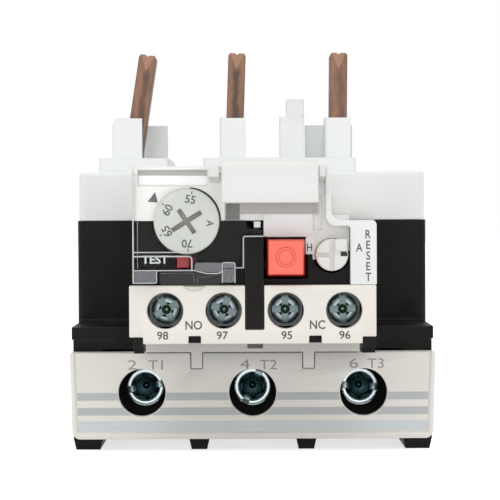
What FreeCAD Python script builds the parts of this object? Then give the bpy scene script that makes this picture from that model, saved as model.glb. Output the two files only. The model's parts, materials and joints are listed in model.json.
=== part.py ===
import FreeCAD, Part
import math
import os
import re
import Sketcher

# Three-phase thermal overload relay, millimetres, +Z up, front face towards -Y, standing on its feet
# at Z = 0. The casing is a black terminal base, a black heater housing and a white upper housing, with
# a control module in front of them. Names that end in _y or _z are places on that axis.

SIZES = {
    # casing
    "body_width": 70.0,
    "side_step": 0.3,
    "back_y": 51.5,
    "body_face_y": -5.5,
    "flange_face_y": -22.0,
    "wall": 2.0,
    "fit_gap": 0.05,
    "run_gap": 0.3,
    "foot_drop": 2.2,
    "foot_draft": 0.5,
    "base_top_z": 21.25,
    "deck_thick": 1.85,
    "flange_top_z": 23.7,
    "flange_step": 0.7,
    "flange_step_depth": 2.5,
    "split_z": 44.3,
    "shoulder_z": 53.9,
    "deck_z": 57.0,
    "deck_left": 31.1,
    "deck_right": 21.4,
    "deck_gap_left_x": -17.0,
    "deck_gap_right_x": -9.8,
    "deck_front_y": 2.0,
    "deck_back_y": 49.0,
    "corner_round": 1.4,
    "edge_round": 0.6,
    # cable bays and their clamps
    "bay_pitch": 20.7,
    "bay_width": 16.7,
    "bay_back_y": 18.5,
    "phase_pitch": 21.2,
    "screw_z": 11.4,
    "head_face_y": -12.4,
    "head_length": 5.0,
    "head_radius": 3.7,
    "shank_radius": 2.95,
    "hex_across": 4.2,
    "hex_depth": 3.4,
    "slot_width": 1.2,
    "slot_depth": 1.1,
    "screw_clearance": 0.05,
    "seat_thick": 1.2,
    "cage_width": 12.8,
    "cage_side": 1.0,
    "cage_nut": 2.6,
    "cage_jaw": 2.2,
    "cage_low_z": 4.6,
    "cage_high_z": 16.2,
    "cage_room": 12.0,
    "tongue_front_y": 3.1,
    "tongue_thick": 2.5,
    "tongue_low_z": 4.0,
    "tongue_width": 10.0,
    "strip_low_z": 16.9,
    "strip_thick": 2.2,
    # power terminal cover and the band above it
    "cover_face_y": -27.5,
    "cover_low_z": 2.5,
    "cover_high_z": 19.0,
    "cover_draft": 0.5,
    "cover_wall": 1.8,
    "cover_side_rim": 0.9,
    "cover_low_rim": 1.3,
    "cover_inset": 0.35,
    "cover_corner": 1.6,
    "driver_radius": 4.5,
    "tab_pitch": 21.4,
    "tab_width": 2.1,
    "tab_low_z": 16.0,
    "band_half": 20.5,
    "band_high_z": 21.7,
    "band_notch_width": 3.0,
    "band_notch_low_z": 19.8,
    "band_notch_high_z": 20.8,
    # connection pins
    "pin_pitch": 21.8,
    "pin_shift": -3.85,
    "pin_width": 3.6,
    "pin_depth": 7.2,
    "pin_front_y": 9.5,
    "pivot_z": 50.0,
    "pin_reach": 28.9,
    "pin_tail": 3.0,
    "pin_notch": 0.35,
    "stud_radius": 1.5,
    "lean_left": 8.6,
    "lean_middle": 2.0,
    "lean_right": 0.6,
    "sleeve_half": 2.65,
    "sleeve_half_left": 3.1,
    "sleeve_z": 65.4,
    "sleeve_wall": 1.2,
    "sleeve_bevel": 0.9,
    "sleeve_bevel_drop": 1.6,
    "rear_wall_z": 64.2,
    "rear_wall_thick": 2.4,
    "slot_room": 3.1,
    # hook
    "hook_left_x": 6.0,
    "hook_right_x": 11.1,
    "hook_step": 1.4,
    "hook_front_y": 12.0,
    "hook_thick": 6.0,
    "hook_step_z": 65.9,
    "hook_z": 69.5,
    "hook_nose": 2.2,
    # bimetals and sliders
    "bimetal_shift": -3.5,
    "bimetal_thick": 1.2,
    "bimetal_front_y": 26.3,
    "bimetal_width": 7.4,
    "bimetal_root_z": 25.0,
    "bimetal_tip_z": 42.0,
    "bead_radius": 1.0,
    "socket_wall": 0.7,
    "heater_low_z": 27.6,
    "heater_pitch": 2.1,
    "heater_ribbon": 1.2,
    "heater_stand": 1.7,
    "slider_low_z": 39.5,
    "slider_thick": 2.0,
    "slider_width": 2.0,
    "slider_left_x": -30.0,
    "slider_right_x": 22.0,
    "finger_width": 1.2,
    "link_thick": 1.2,
    "link_arm_x": 5.5,
    "link_arm_width": 2.1,
    "link_arm_y": -10.5,
    # control module
    "module_left": 21.8,
    "module_right": 22.4,
    "module_face_y": -45.0,
    "module_low_z": 21.9,
    "module_wall": 1.6,
    "front_wall": 1.8,
    "hood_right_x": 14.3,
    "hood_z": 54.2,
    "flank_right_x": 21.0,
    "flank_z": 48.4,
    "flank_slope": 1.6,
    "flank_face_y": -43.0,
    "shelf_z": 33.2,
    "bar_left_x": -1.3,
    "bar_right_x": 2.0,
    "bar_low_z": 24.5,
    "bar_high_z": 41.3,
    "bar_face_y": -47.3,
    "block_inner_x": 20.0,
    "block_low_z": 20.0,
    "block_back_y": -36.0,
    # auxiliary terminals
    "strip_half": 22.5,
    "strip_face_y": -47.5,
    "strip_plate": 2.2,
    "strip_bottom_z": 21.85,
    "strip_top_z": 32.5,
    "strip_notch_z": 23.1,
    "aux_outer": 16.3,
    "aux_inner": 5.65,
    "aux_shift": 0.35,
    "aux_z": 27.9,
    "aux_hole_radius": 3.3,
    "aux_pocket": 7.4,
    "aux_head_face_y": -41.6,
    "aux_head_radius": 2.85,
    "aux_head_length": 2.4,
    "aux_shank_radius": 1.7,
    "aux_screw_length": 8.4,
    "washer_side": 6.4,
    "washer_thick": 1.0,
    "aux_bar_y": -36.0,
    "aux_bar_thick": 0.9,
    "aux_bar_tail_y": -27.0,
    "tail_low_z": 30.5,
    "tail_thick": 0.8,
    "wire_low_y": -42.0,
    "wire_high_y": -37.4,
    "wire_width": 6.2,
    "small_notch": 2.3,
    "small_notch_high_z": 23.3,
    "small_notch_left_x": -10.6,
    "small_notch_right_x": 11.4,
    # current dial
    "dial_x": -12.0,
    "dial_z": 44.2,
    "dial_radius": 6.0,
    "dial_hole": 5.6,
    "dial_face_y": -46.6,
    "dial_thick": 2.9,
    "dial_rim": 1.3,
    "dial_shaft": 2.0,
    "dial_end_y": -34.4,
    "cross_width": 0.85,
    "cross_long": 6.3,
    "cross_short": 5.2,
    "cross_depth": 0.9,
    "cross_angle": 32.0,
    "cam_radius": 4.0,
    "cam_rise": 0.4,
    "cam_front_y": -38.4,
    "cam_thick": 2.8,
    "web_front_y": -40.5,
    "web_thick": 1.5,
    "shaft_clearance": 0.05,
    # test slider
    "test_left_x": -13.8,
    "test_right_x": -11.6,
    "test_low_z": 35.7,
    "test_high_z": 37.8,
    "test_face_y": -46.0,
    "test_travel": 1.0,
    "test_foot": 1.5,
    "test_spring_length": 4.0,
    # stop button
    "stop_left_x": 2.9,
    "stop_right_x": 9.2,
    "stop_low_z": 34.5,
    "stop_high_z": 40.7,
    "stop_flare": 0.5,
    "stop_face_y": -49.2,
    "stop_flare_y": -44.4,
    "stop_back_y": -42.6,
    "stop_ring_outer": 1.75,
    "stop_ring_inner": 1.35,
    "stop_ring_depth": 0.3,
    "stem_radius": 1.5,
    "stem_end_y": -35.2,
    "guide_front_y": -37.5,
    "guide_thick": 1.5,
    "guide_high_z": 44.25,
    "spring_wire": 0.25,
    # reset knob
    "knob_x": 14.45,
    "knob_z": 38.0,
    "knob_radius": 2.95,
    "knob_face_y": -47.8,
    "knob_back_y": -43.1,
    "knob_groove": 0.75,
    "knob_groove_depth": 0.9,
    "lug_side": 2.2,
    "lug_out": 0.4,
    "lug_x": 1.65,
    "lug_z": 1.75,
    "knob_stem": 1.0,
    "plunger_radius": 2.0,
    "plunger_collar": 2.7,
    "plunger_end_y": -34.8,
    # reset panel with its lip
    "panel_face_y": -47.4,
    "panel_left_x": 17.8,
    "panel_right_x": 22.6,
    "lip_left_x": 13.3,
    "lip_width": 1.1,
    "lip_round": 1.9,
    "lip_top_z": 54.0,
    "panel_top_z": 44.3,
    # clear cover, flap and their hinge
    "hinge_y": -49.2,
    "hinge_z": 53.2,
    "hinge_pin": 0.6,
    "knuckle_radius": 1.15,
    "lug_left_x": -7.9,
    "lug_left_width": 1.9,
    "lug_right_x": 13.2,
    "lug_right_width": 1.1,
    "window_face_y": -49.5,
    "window_thick": 1.1,
    "window_right_x": 12.9,
    "window_mid_x": -1.5,
    "window_step_z": 41.3,
    "window_low_z": 32.7,
    "window_lift_z": 35.0,
    "window_top_z": 54.2,
    "window_relief_x": -8.2,
    "window_relief_z": 51.2,
    "window_rim": 0.9,
    "window_rim_y": -45.8,
    "flap_left_x": -5.5,
    "flap_right_x": 11.9,
    "flap_low_z": 47.5,
    "flap_high_z": 55.2,
    "flap_face_y": -51.5,
    "flap_thick": 1.0,
    # trip lever and contact rocker
    "hub_x": 10.5,
    "hub_y": -24.0,
    "post_radius": 1.0,
    "hub_radius": 2.0,
    "hub_low_z": 40.0,
    "hub_high_z": 48.2,
    "rocker_x": 0.35,
    "rocker_z": 36.0,
    "rocker_front_y": -31.0,
    "rocker_depth": 2.5,
    "bridge_half": 7.0,
    "bridge_thick": 0.6,
    "no_gap": 2.5,
}

PHASES = {"left": -1, "middle": 0, "right": 1}
AUX_PLACES = {
    "98": "(aux_shift - aux_outer)",
    "97": "(aux_shift - aux_inner)",
    "95": "(aux_shift + aux_inner)",
    "96": "(aux_shift + aux_outer)",
}
WORD = re.compile(r"[a-z][a-z_]+")
AXES = {"X": (1, 0, 0), "Y": (0, 1, 0), "Z": (0, 0, 1)}

doc = FreeCAD.newDocument("overload_relay")
sheet = doc.addObject("Spreadsheet::Sheet", "Dims")
for row, (alias, value) in enumerate(SIZES.items(), start=1):
    sheet.set(f"A{row}", alias)
    sheet.set(f"B{row}", str(value))
    sheet.setAlias(f"B{row}", alias)
doc.recompute()

nodes = {}


def dims(text):
    """An expression of the sheet's names, as the document's own expression."""
    return WORD.sub(lambda word: "Dims." + word.group() if word.group() in SIZES else word.group(), text)


def keep(label, piece):
    """Names a finished sub-part."""
    piece.Label = label
    nodes[label] = piece
    return piece


def block(name, x_range, y_range, z_range):
    """A box between two values on each axis."""
    box = doc.addObject("Part::Box", name)
    for (low, high), side, place in zip((x_range, y_range, z_range), ("Length", "Width", "Height"), "xyz"):
        box.setExpression(side, dims(f"({high}) - ({low})"))
        box.setExpression(f"Placement.Base.{place}", dims(low))
    return box


def rod(name, axis, centre, span, radius):
    """A cylinder along an axis; centre gives its place on the other two axes, in X, Y, Z order."""
    cylinder = doc.addObject("Part::Cylinder", name)
    turn = FreeCAD.Rotation(FreeCAD.Vector(0, 0, 1), FreeCAD.Vector(*AXES[axis]))
    cylinder.Placement = FreeCAD.Placement(FreeCAD.Vector(), turn)
    places = dict(zip("XYZ".replace(axis, ""), centre))
    places[axis] = span[0]
    for letter, place in places.items():
        cylinder.setExpression(f"Placement.Base.{letter.lower()}", dims(place))
    cylinder.setExpression("Radius", dims(radius))
    cylinder.setExpression("Height", dims(f"({span[1]}) - ({span[0]})"))
    return cylinder


def prism(name, plane, points, span):
    """A padded sketch: points in the plane, span along its normal, all as expressions."""
    body = doc.addObject("PartDesign::Body", name)
    sketch = body.newObject("Sketcher::SketchObject", name + "_outline")
    support = [item for item in body.Origin.OriginFeatures if item.Role == plane + "_Plane"]
    sketch.AttachmentSupport = [(support[0], "")]
    sketch.MapMode = "FlatFace"
    start = f"-({span[1]})" if plane == "XZ" else span[0]
    sketch.setExpression("AttachmentOffset.Base.z", dims(start))
    count = len(points)
    ring = [
        FreeCAD.Vector(math.cos(2 * math.pi * n / count), math.sin(2 * math.pi * n / count), 0) for n in range(count)
    ]
    for n in range(count):
        sketch.addGeometry(Part.LineSegment(ring[n], ring[(n + 1) % count]), False)
    for n in range(count):
        sketch.addConstraint(Sketcher.Constraint("Coincident", n, 2, (n + 1) % count, 1))
    for n, (across, up) in enumerate(points):
        for kind, value, text in (("DistanceX", ring[n].x, across), ("DistanceY", ring[n].y, up)):
            index = sketch.addConstraint(Sketcher.Constraint(kind, -1, 1, n, 1, value))
            sketch.setExpression(f"Constraints[{index}]", dims(text))
    pad = body.newObject("PartDesign::Pad", name + "_pad")
    pad.Profile = sketch
    pad.setExpression("Length", dims(f"({span[1]}) - ({span[0]})"))
    return body


def join(name, *pieces):
    """One solid from pieces that overlap or share a face."""
    fusion = doc.addObject("Part::MultiFuse", name)
    fusion.Shapes = list(pieces)
    fusion.Refine = True
    return fusion


def cut(name, base, *tools):
    """The base less its tools."""
    result = doc.addObject("Part::Cut", name)
    result.Base = base
    result.Tool = tools[0] if len(tools) == 1 else join(name + "_tools", *tools)
    result.Refine = True
    return result


def group(name, *pieces):
    """Separate solids that share one node."""
    compound = doc.addObject("Part::Compound", name)
    compound.Links = list(pieces)
    return compound


def soften(name, base, radius, pick):
    """Rounds the edges that pick accepts."""
    doc.recompute()
    chosen = [n for n, edge in enumerate(base.Shape.Edges, start=1) if pick(edge)]
    fillet = doc.addObject("Part::Fillet", name)
    fillet.Base = base
    fillet.Edges = [(n, radius, radius) for n in chosen]
    base.Visibility = False
    return fillet


def chamfer(name, base, size, face_y):
    """Breaks the round edges of a turned piece that lie at one depth."""
    doc.recompute()
    chosen = [
        n
        for n, edge in enumerate(base.Shape.Edges, start=1)
        if isinstance(edge.Curve, Part.Circle) and near(edge.CenterOfMass.y, face_y)
    ]
    broken = doc.addObject("Part::Chamfer", name)
    broken.Base = base
    broken.Edges = [(n, size, size) for n in chosen]
    return broken


def runs_along(edge, axis):
    """True for a straight edge along an axis."""
    if not isinstance(edge.Curve, Part.Line):
        return False
    return abs(abs(edge.Curve.Direction.dot(FreeCAD.Vector(*AXES[axis]))) - 1) < 1e-6


def near(value, place):
    return abs(value - place) < 1e-3


# ---------------------------------------------------------------- casing


def terminal_base():
    """Three cable bays, open in front and below, between four barriers that end in feet."""
    outer = block(
        "base_outer",
        ("-body_width / 2 + side_step", "body_width / 2 - side_step"),
        ("flange_face_y", "back_y"),
        ("foot_drop", "base_top_z"),
    )
    tools = []
    feet = []
    seats = []
    for name, step in PHASES.items():
        middle = f"{step} * bay_pitch"
        across = (f"{middle} - bay_width / 2", f"{middle} + bay_width / 2")
        screw_x = f"{step} * phase_pitch"
        front = block(
            f"bay_{name}", across, ("flange_face_y - 1", "bay_back_y"), ("-1", "base_top_z - deck_thick")
        )
        rear = block(
            f"well_{name}", across, ("bay_back_y + wall", "back_y - wall"), ("foot_drop + wall", "base_top_z + 1")
        )
        slot = block(
            f"bar_slot_{name}",
            (f"{screw_x} - tongue_width / 2 - fit_gap", f"{screw_x} + tongue_width / 2 + fit_gap"),
            ("bay_back_y - 1", "bay_back_y + wall + 1"),
            ("strip_low_z - fit_gap", "strip_low_z + strip_thick + fit_gap"),
        )
        tools += [front, rear, slot]
        seat_y = "head_face_y + head_length + run_gap"
        plate = block(f"seat_{name}", across, (seat_y, f"{seat_y} + seat_thick"), ("foot_drop + wall", "base_top_z - 1"))
        hole = rod(
            f"seat_hole_{name}",
            "Y",
            (screw_x, "screw_z"),
            (f"{seat_y} - 1", f"{seat_y} + seat_thick + 1"),
            "shank_radius + run_gap",
        )
        seats.append(cut(f"seat_plate_{name}", plate, hole))
    barrier = "(bay_pitch - bay_width)"
    outer_wall = "(body_width / 2 - side_step - bay_pitch - bay_width / 2)"
    inner_x = "bay_pitch / 2"
    outer_x = f"(body_width / 2 - side_step - {outer_wall} / 2)"
    for number, (middle, width) in enumerate(
        ((f"-{outer_x}", outer_wall), (f"-{inner_x}", barrier), (inner_x, barrier), (outer_x, outer_wall)), start=1
    ):
        profile = [
            (f"{middle} - {width} / 2", "foot_drop + 1"),
            (f"{middle} - {width} / 2", "foot_drop"),
            (f"{middle} - {width} / 2 + foot_draft", "0"),
            (f"{middle} + {width} / 2 - foot_draft", "0"),
            (f"{middle} + {width} / 2", "foot_drop"),
            (f"{middle} + {width} / 2", "foot_drop + 1"),
        ]
        feet.append(prism(f"foot_{number}", "XZ", profile, ("flange_face_y", "back_y - wall")))
    shell = cut("base_shell", outer, *tools)
    whole = join("base_whole", shell, *feet, *seats)
    corners = soften(
        "base_rounded",
        whole,
        SIZES["corner_round"],
        lambda edge: runs_along(edge, "Z") and near(edge.CenterOfMass.y, SIZES["back_y"]),
    )
    keep("terminal_base", corners)


def heater_housing():
    """The tall black body: three chambers side by side, open above and below, on a flange."""
    outer = block(
        "heater_outer",
        ("-body_width / 2", "body_width / 2"),
        ("body_face_y", "back_y"),
        ("base_top_z + fit_gap", "split_z - fit_gap"),
    )
    flange = block(
        "heater_flange",
        ("-body_width / 2", "body_width / 2"),
        ("flange_face_y", "body_face_y + 1"),
        ("base_top_z + fit_gap", "flange_top_z"),
    )
    step = block(
        "heater_step",
        ("-body_width / 2 + flange_step", "body_width / 2 - flange_step"),
        ("body_face_y - flange_step_depth", "body_face_y + 1"),
        ("flange_top_z - 1", "flange_top_z + flange_step"),
    )
    edge_x = "(body_width / 2 - wall)"
    part_low = "(bay_pitch / 2 - wall / 2)"
    part_high = "(bay_pitch / 2 + wall / 2)"
    tools = []
    for name, across in (
        ("left", (f"-{edge_x}", f"-{part_high}")),
        ("middle", (f"-{part_low}", part_low)),
        ("right", (part_high, edge_x)),
    ):
        tools.append(
            block(
                f"chamber_{name}", across, ("body_face_y + wall", "back_y - wall"), ("base_top_z - 1", "split_z + 1")
            )
        )
    slide_room = block(
        "slide_room",
        (f"-{part_high} - 1", f"{part_high} + 1"),
        ("bimetal_front_y - 6.3", "bimetal_front_y + bimetal_width + 4.3"),
        ("slider_low_z - run_gap", "split_z + 1"),
    )
    window = block(
        "link_window",
        ("link_arm_x - 0.5", "link_arm_x + link_arm_width + 5"),
        ("body_face_y - 1", "body_face_y + wall + 1"),
        ("slider_low_z + slider_thick + 0.2", "split_z + 1"),
    )
    rounded = soften("heater_rounded", outer, SIZES["corner_round"], lambda edge: runs_along(edge, "Z"))
    solid = join("heater_solid", rounded, flange, step)
    keep("heater_housing", cut("heater_shell", solid, *tools, slide_room, window))


def pin_centre(step):
    return f"({step} * pin_pitch + pin_shift)"


def sleeve(name, step):
    """A C-shaped sleeve round one pin, open to the right, where the pin may lean."""
    centre = pin_centre(step)
    half = "sleeve_half_left" if name == "left" else "sleeve_half"
    front = "(pin_front_y - run_gap - sleeve_wall)"
    back = "(pin_front_y + pin_depth + run_gap + sleeve_wall)"
    outer = block(
        f"sleeve_{name}", (f"{centre} - {half}", f"{centre} + {half}"), (front, back), ("deck_z - 1", "sleeve_z")
    )
    rounded = soften(
        f"sleeve_rounded_{name}",
        outer,
        0.6,
        lambda edge: runs_along(edge, "Z") and edge.CenterOfMass.x < SIZES["pin_shift"] + step * SIZES["pin_pitch"],
    )
    if name != "left":
        return rounded
    edge_x = f"({centre} - {half})"
    corner = [
        (f"{edge_x} - 1", "sleeve_z - sleeve_bevel_drop"),
        (edge_x, "sleeve_z - sleeve_bevel_drop"),
        (f"{edge_x} + sleeve_bevel", "sleeve_z"),
        (f"{edge_x} + sleeve_bevel", "sleeve_z + 1"),
        (f"{edge_x} - 1", "sleeve_z + 1"),
    ]
    return cut(f"sleeve_bevelled_{name}", rounded, prism(f"sleeve_corner_{name}", "XZ", corner, (f"{front} - 1", f"{back} + 1")))


def upper_housing():
    """The white top: shoulders, raised deck, pin sleeves with their rear walls, and the hook."""
    outer = block(
        "upper_outer",
        ("-body_width / 2 + side_step", "body_width / 2 - side_step"),
        ("body_face_y", "back_y"),
        ("split_z", "shoulder_z"),
    )
    corners = soften(
        "upper_corners",
        outer,
        SIZES["corner_round"],
        lambda edge: runs_along(edge, "Z"),
    )
    top = soften("upper_top", corners, SIZES["edge_round"], lambda edge: near(edge.CenterOfMass.z, SIZES["shoulder_z"]))
    deck_ends = {"left": ("-deck_left", "deck_gap_left_x"), "right": ("deck_gap_right_x", "deck_right")}
    decks = []
    for side, across in deck_ends.items():
        deck = block(f"deck_{side}", across, ("deck_front_y", "deck_back_y"), ("shoulder_z - 1.5", "deck_z"))
        decks.append(
            soften(f"deck_rounded_{side}", deck, SIZES["edge_round"], lambda edge: runs_along(edge, "Z"))
        )
    sleeves = [sleeve(name, step) for name, step in PHASES.items()]
    back = "(pin_front_y + pin_depth + run_gap + sleeve_wall)"
    rear_left = block(
        "rear_wall_left",
        (f"{pin_centre(-1)} - 3.6", f"{pin_centre(-1)} + 8.0"),
        (f"{back} - 0.2", f"{back} + rear_wall_thick"),
        ("deck_z - 1", "rear_wall_z"),
    )
    rear_middle = block(
        "rear_wall_middle",
        (f"{pin_centre(0)} - sleeve_half", f"{pin_centre(0)} + 2.4"),
        (f"{back} - 0.2", f"{back} + rear_wall_thick"),
        ("deck_z - 1", "rear_wall_z"),
    )
    rear_right = block(
        "rear_wall_right",
        (f"{pin_centre(1)} - 6.5", f"{pin_centre(1)} + 3.4"),
        (f"{back} - 0.2", f"{back} + rear_wall_thick"),
        ("deck_z - 1", "rear_wall_z"),
    )
    post = [
        ("hook_front_y", "deck_z - 1"),
        ("hook_front_y + hook_thick", "deck_z - 1"),
        ("hook_front_y + hook_thick", "hook_step_z"),
        ("hook_front_y + 2", "hook_step_z"),
        ("hook_front_y", "hook_step_z - 2.4"),
    ]
    claw = [
        ("hook_front_y + 2.5", "hook_step_z - 1"),
        ("hook_front_y + hook_thick", "hook_step_z - 1"),
        ("hook_front_y + hook_thick", "hook_step_z + 0.8"),
        ("hook_front_y + hook_thick + hook_nose", "hook_step_z + 1.2"),
        ("hook_front_y + hook_thick + hook_nose", "hook_step_z + 2"),
        ("hook_front_y + hook_thick - 0.6", "hook_z"),
        ("hook_front_y + 2.5", "hook_z"),
    ]
    hook_low = prism("hook_post", "YZ", post, ("hook_left_x", "hook_right_x"))
    hook_high = prism("hook_claw", "YZ", claw, ("hook_left_x + hook_step", "hook_right_x"))
    body = join("upper_body", top, *decks, *sleeves, rear_left, rear_middle, rear_right, hook_low, hook_high)
    tools = [
        block(
            "upper_room",
            ("-body_width / 2 + side_step + wall", "body_width / 2 - side_step - wall"),
            ("body_face_y + wall", "back_y - wall"),
            ("split_z - 1", "shoulder_z - wall"),
        ),
    ]
    for side, (low_x, high_x) in deck_ends.items():
        tools.append(
            block(
                f"deck_room_{side}",
                (f"{low_x} + wall", f"{high_x} - wall"),
                ("deck_front_y + wall", "deck_back_y - wall"),
                ("shoulder_z - wall - 1", "deck_z - wall"),
            )
        )
    for name, step in PHASES.items():
        left = f"{pin_centre(step)} - pin_width / 2 - 0.15"
        tools.append(
            block(
                f"pin_slot_{name}",
                (left, f"{pin_centre(step)} + slot_room"),
                ("pin_front_y - run_gap", "pin_front_y + pin_depth + run_gap"),
                ("shoulder_z - wall - 0.5", "sleeve_z + 1"),
            )
        )
    ribs = [
        block(
            f"stud_rib_{name}",
            (f"{pin_centre(step)} - 2.6", f"{pin_centre(step)} + 2.6"),
            ("pin_front_y - run_gap - 1.5", "pin_front_y - run_gap"),
            ("pivot_z - 2.6", "deck_z - wall + 0.5"),
        )
        for name, step in PHASES.items()
    ]
    keep("upper_housing", join("upper_whole", cut("upper_shell", body, *tools), *ribs))


def hood_drop(name, depth_low, depth_high, grow):
    """The stepped piece of white front that reaches down over the button and round the knob."""
    points = [
        (f"bar_right_x + 0.6 - {grow}", "split_z + 1"),
        (f"bar_right_x + 0.6 - {grow}", f"window_step_z - {grow}"),
        (f"stop_right_x + 0.8 - {grow}", f"window_step_z - {grow}"),
        (f"stop_right_x + 0.8 - {grow}", f"knob_z + 0.1 - {grow}"),
        (f"panel_left_x - fit_gap", f"knob_z + 0.1 - {grow}"),
        (f"panel_left_x - fit_gap", "split_z + 1"),
    ]
    return prism(name, "XZ", points, (depth_low, depth_high))


def front_housing():
    """The black half of the control module, with the terminal pockets, pivots and guides inside."""
    sides = ("-module_left", "module_right")
    front = block(
        "module_front", sides, ("module_face_y", "flange_face_y - fit_gap"), ("module_low_z", "split_z - fit_gap")
    )
    rear = block(
        "module_rear",
        sides,
        ("flange_face_y - fit_gap - 1", "body_face_y - flange_step_depth - fit_gap"),
        ("flange_top_z + fit_gap", "split_z - fit_gap"),
    )
    neck = block(
        "module_neck",
        sides,
        ("body_face_y - flange_step_depth - 1", "body_face_y - fit_gap"),
        ("flange_top_z + flange_step + fit_gap", "split_z - fit_gap"),
    )
    corner_blocks = [
        block(
            f"corner_block_{name}", across, ("module_face_y", "block_back_y"), ("block_low_z", "module_low_z + 1")
        )
        for name, across in (("left", ("-module_left", "-block_inner_x")), ("right", ("block_inner_x", "module_right")))
    ]
    corner_faces = [
        block(
            f"corner_face_{name}",
            across,
            ("strip_face_y + 0.2", "module_face_y + 1"),
            ("strip_notch_z - 1.9", "strip_notch_z - 0.1"),
        )
        for name, across in (
            ("left", ("-module_left", "-block_inner_x - 0.1")),
            ("right", ("block_inner_x + 0.1", "module_right")),
        )
    ]
    bar = block(
        "centre_bar", ("bar_left_x", "bar_right_x"), ("bar_face_y", "module_face_y + 1"), ("bar_low_z", "bar_high_z")
    )
    inner = ("-module_left + module_wall", "module_right - module_wall")
    behind_wall = "module_face_y + front_wall"
    room = block(
        "module_room",
        inner,
        (behind_wall, "body_face_y - module_wall"),
        ("shelf_z", "split_z + 1"),
    )
    contact_room = block(
        "contact_room", inner, ("aux_bar_y + 2", "hub_y - 2.3"), ("aux_z - aux_shank_radius - run_gap", "shelf_z + 1")
    )
    tools = [room, contact_room]
    for number, place in AUX_PLACES.items():
        tools.append(
            block(
                f"pocket_{number}",
                (f"{place} - aux_pocket / 2", f"{place} + aux_pocket / 2"),
                ("module_face_y - 1", "aux_bar_y + 2.5"),
                ("aux_z - 4.6", "aux_z + 4.1"),
            )
        )
        tools.append(
            block(
                f"wire_way_{number}",
                (f"{place} - wire_width / 2", f"{place} + wire_width / 2"),
                ("wire_low_y", "wire_high_y"),
                ("module_low_z - 1", "aux_z - 4"),
            )
        )
    tools += [
        rod("dial_hole", "Y", ("dial_x", "dial_z"), ("module_face_y - 1", f"{behind_wall} + 0.01"), "dial_hole"),
        block(
            "test_slot",
            ("test_left_x - run_gap", "test_right_x + test_travel + run_gap"),
            ("module_face_y - 1", f"{behind_wall} + 0.01"),
            ("test_low_z - 0.2", "test_high_z + 0.2"),
        ),
        block(
            "stop_pocket",
            ("stop_left_x - stop_flare - 0.4", "stop_right_x + 0.5 + 0.4"),
            ("module_face_y - 1", f"{behind_wall} + 0.01"),
            ("stop_low_z - 0.5 - 0.4", "window_step_z - fit_gap"),
        ),
        rod(
            "knob_pocket",
            "Y",
            ("knob_x", "knob_z"),
            ("module_face_y - 1", f"{behind_wall} + 0.01"),
            "knob_radius + 0.45",
        ),
        hood_drop("drop_room", "module_face_y - 1", f"{behind_wall} + 0.01", "fit_gap"),
        block(
            "flag_window",
            ("bar_right_x - 3", "bar_right_x - 0.2"),
            ("module_face_y - 1", f"{behind_wall} + 0.01"),
            ("split_z - 1.6", "split_z + 1"),
        ),
        block(
            "module_link_window",
            ("link_arm_x - 0.5", "link_arm_x + link_arm_width + 5"),
            ("body_face_y - module_wall - 1", "body_face_y + 1"),
            ("slider_low_z + slider_thick + 0.2", "split_z + 1"),
        ),
    ]
    shell = cut("module_shell", join("module_solid", front, rear, neck, *corner_blocks, *corner_faces, bar), *tools)
    dial_web = cut(
        "dial_web",
        block(
            "dial_web_plate",
            ("dial_x - 6", "dial_x + 6"),
            ("web_front_y", "web_front_y + web_thick"),
            ("shelf_z - 1", "dial_z + 4"),
        ),
        rod(
            "dial_bearing",
            "Y",
            ("dial_x", "dial_z"),
            ("web_front_y - 1", "web_front_y + web_thick + 1"),
            "dial_shaft + shaft_clearance",
        ),
    )
    guide_web = cut(
        "guide_web",
        block(
            "guide_plate",
            ("bar_right_x + 0.6", "module_right - 1"),
            ("guide_front_y", "guide_front_y + guide_thick"),
            ("shelf_z - 1", "guide_high_z"),
        ),
        rod(
            "stop_guide",
            "Y",
            ("(stop_left_x + stop_right_x) / 2", "(stop_low_z + stop_high_z) / 2"),
            ("guide_front_y - 1", "guide_front_y + guide_thick + 1"),
            "stem_radius + shaft_clearance",
        ),
        rod(
            "reset_guide",
            "Y",
            ("knob_x", "knob_z"),
            ("guide_front_y - 1", "guide_front_y + guide_thick + 1"),
            "plunger_radius + shaft_clearance",
        ),
    )
    spring_seat = block(
        "spring_seat",
        ("test_right_x + test_foot + test_spring_length + 0.2", "test_right_x + test_foot + test_spring_length + 1.4"),
        (f"{behind_wall} - 0.5", f"{behind_wall} + 2.2"),
        ("test_low_z - 0.6", "test_high_z + 0.6"),
    )
    lever_post = rod("lever_post", "Z", ("hub_x", "hub_y"), ("shelf_z - 1", "hub_high_z + 0.8"), "post_radius")
    lever_seat = rod("lever_seat", "Z", ("hub_x", "hub_y"), ("shelf_z - 1", "hub_low_z - run_gap"), "hub_radius - 0.2")
    rocker_rib = block(
        "rocker_rib",
        ("rocker_x - 2", "rocker_x + 2"),
        ("rocker_front_y + rocker_depth + run_gap", "hub_y - 1"),
        ("shelf_z - 4", "rocker_z + 2"),
    )
    rocker_axle = rod(
        "rocker_axle", "Y", ("rocker_x", "rocker_z"), ("rocker_front_y - 0.8", "hub_y - 2"), "post_radius"
    )
    inside = [dial_web, guide_web, spring_seat, lever_post, lever_seat, rocker_rib, rocker_axle]
    keep("front_housing", join("module_whole", shell, *inside))


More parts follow.
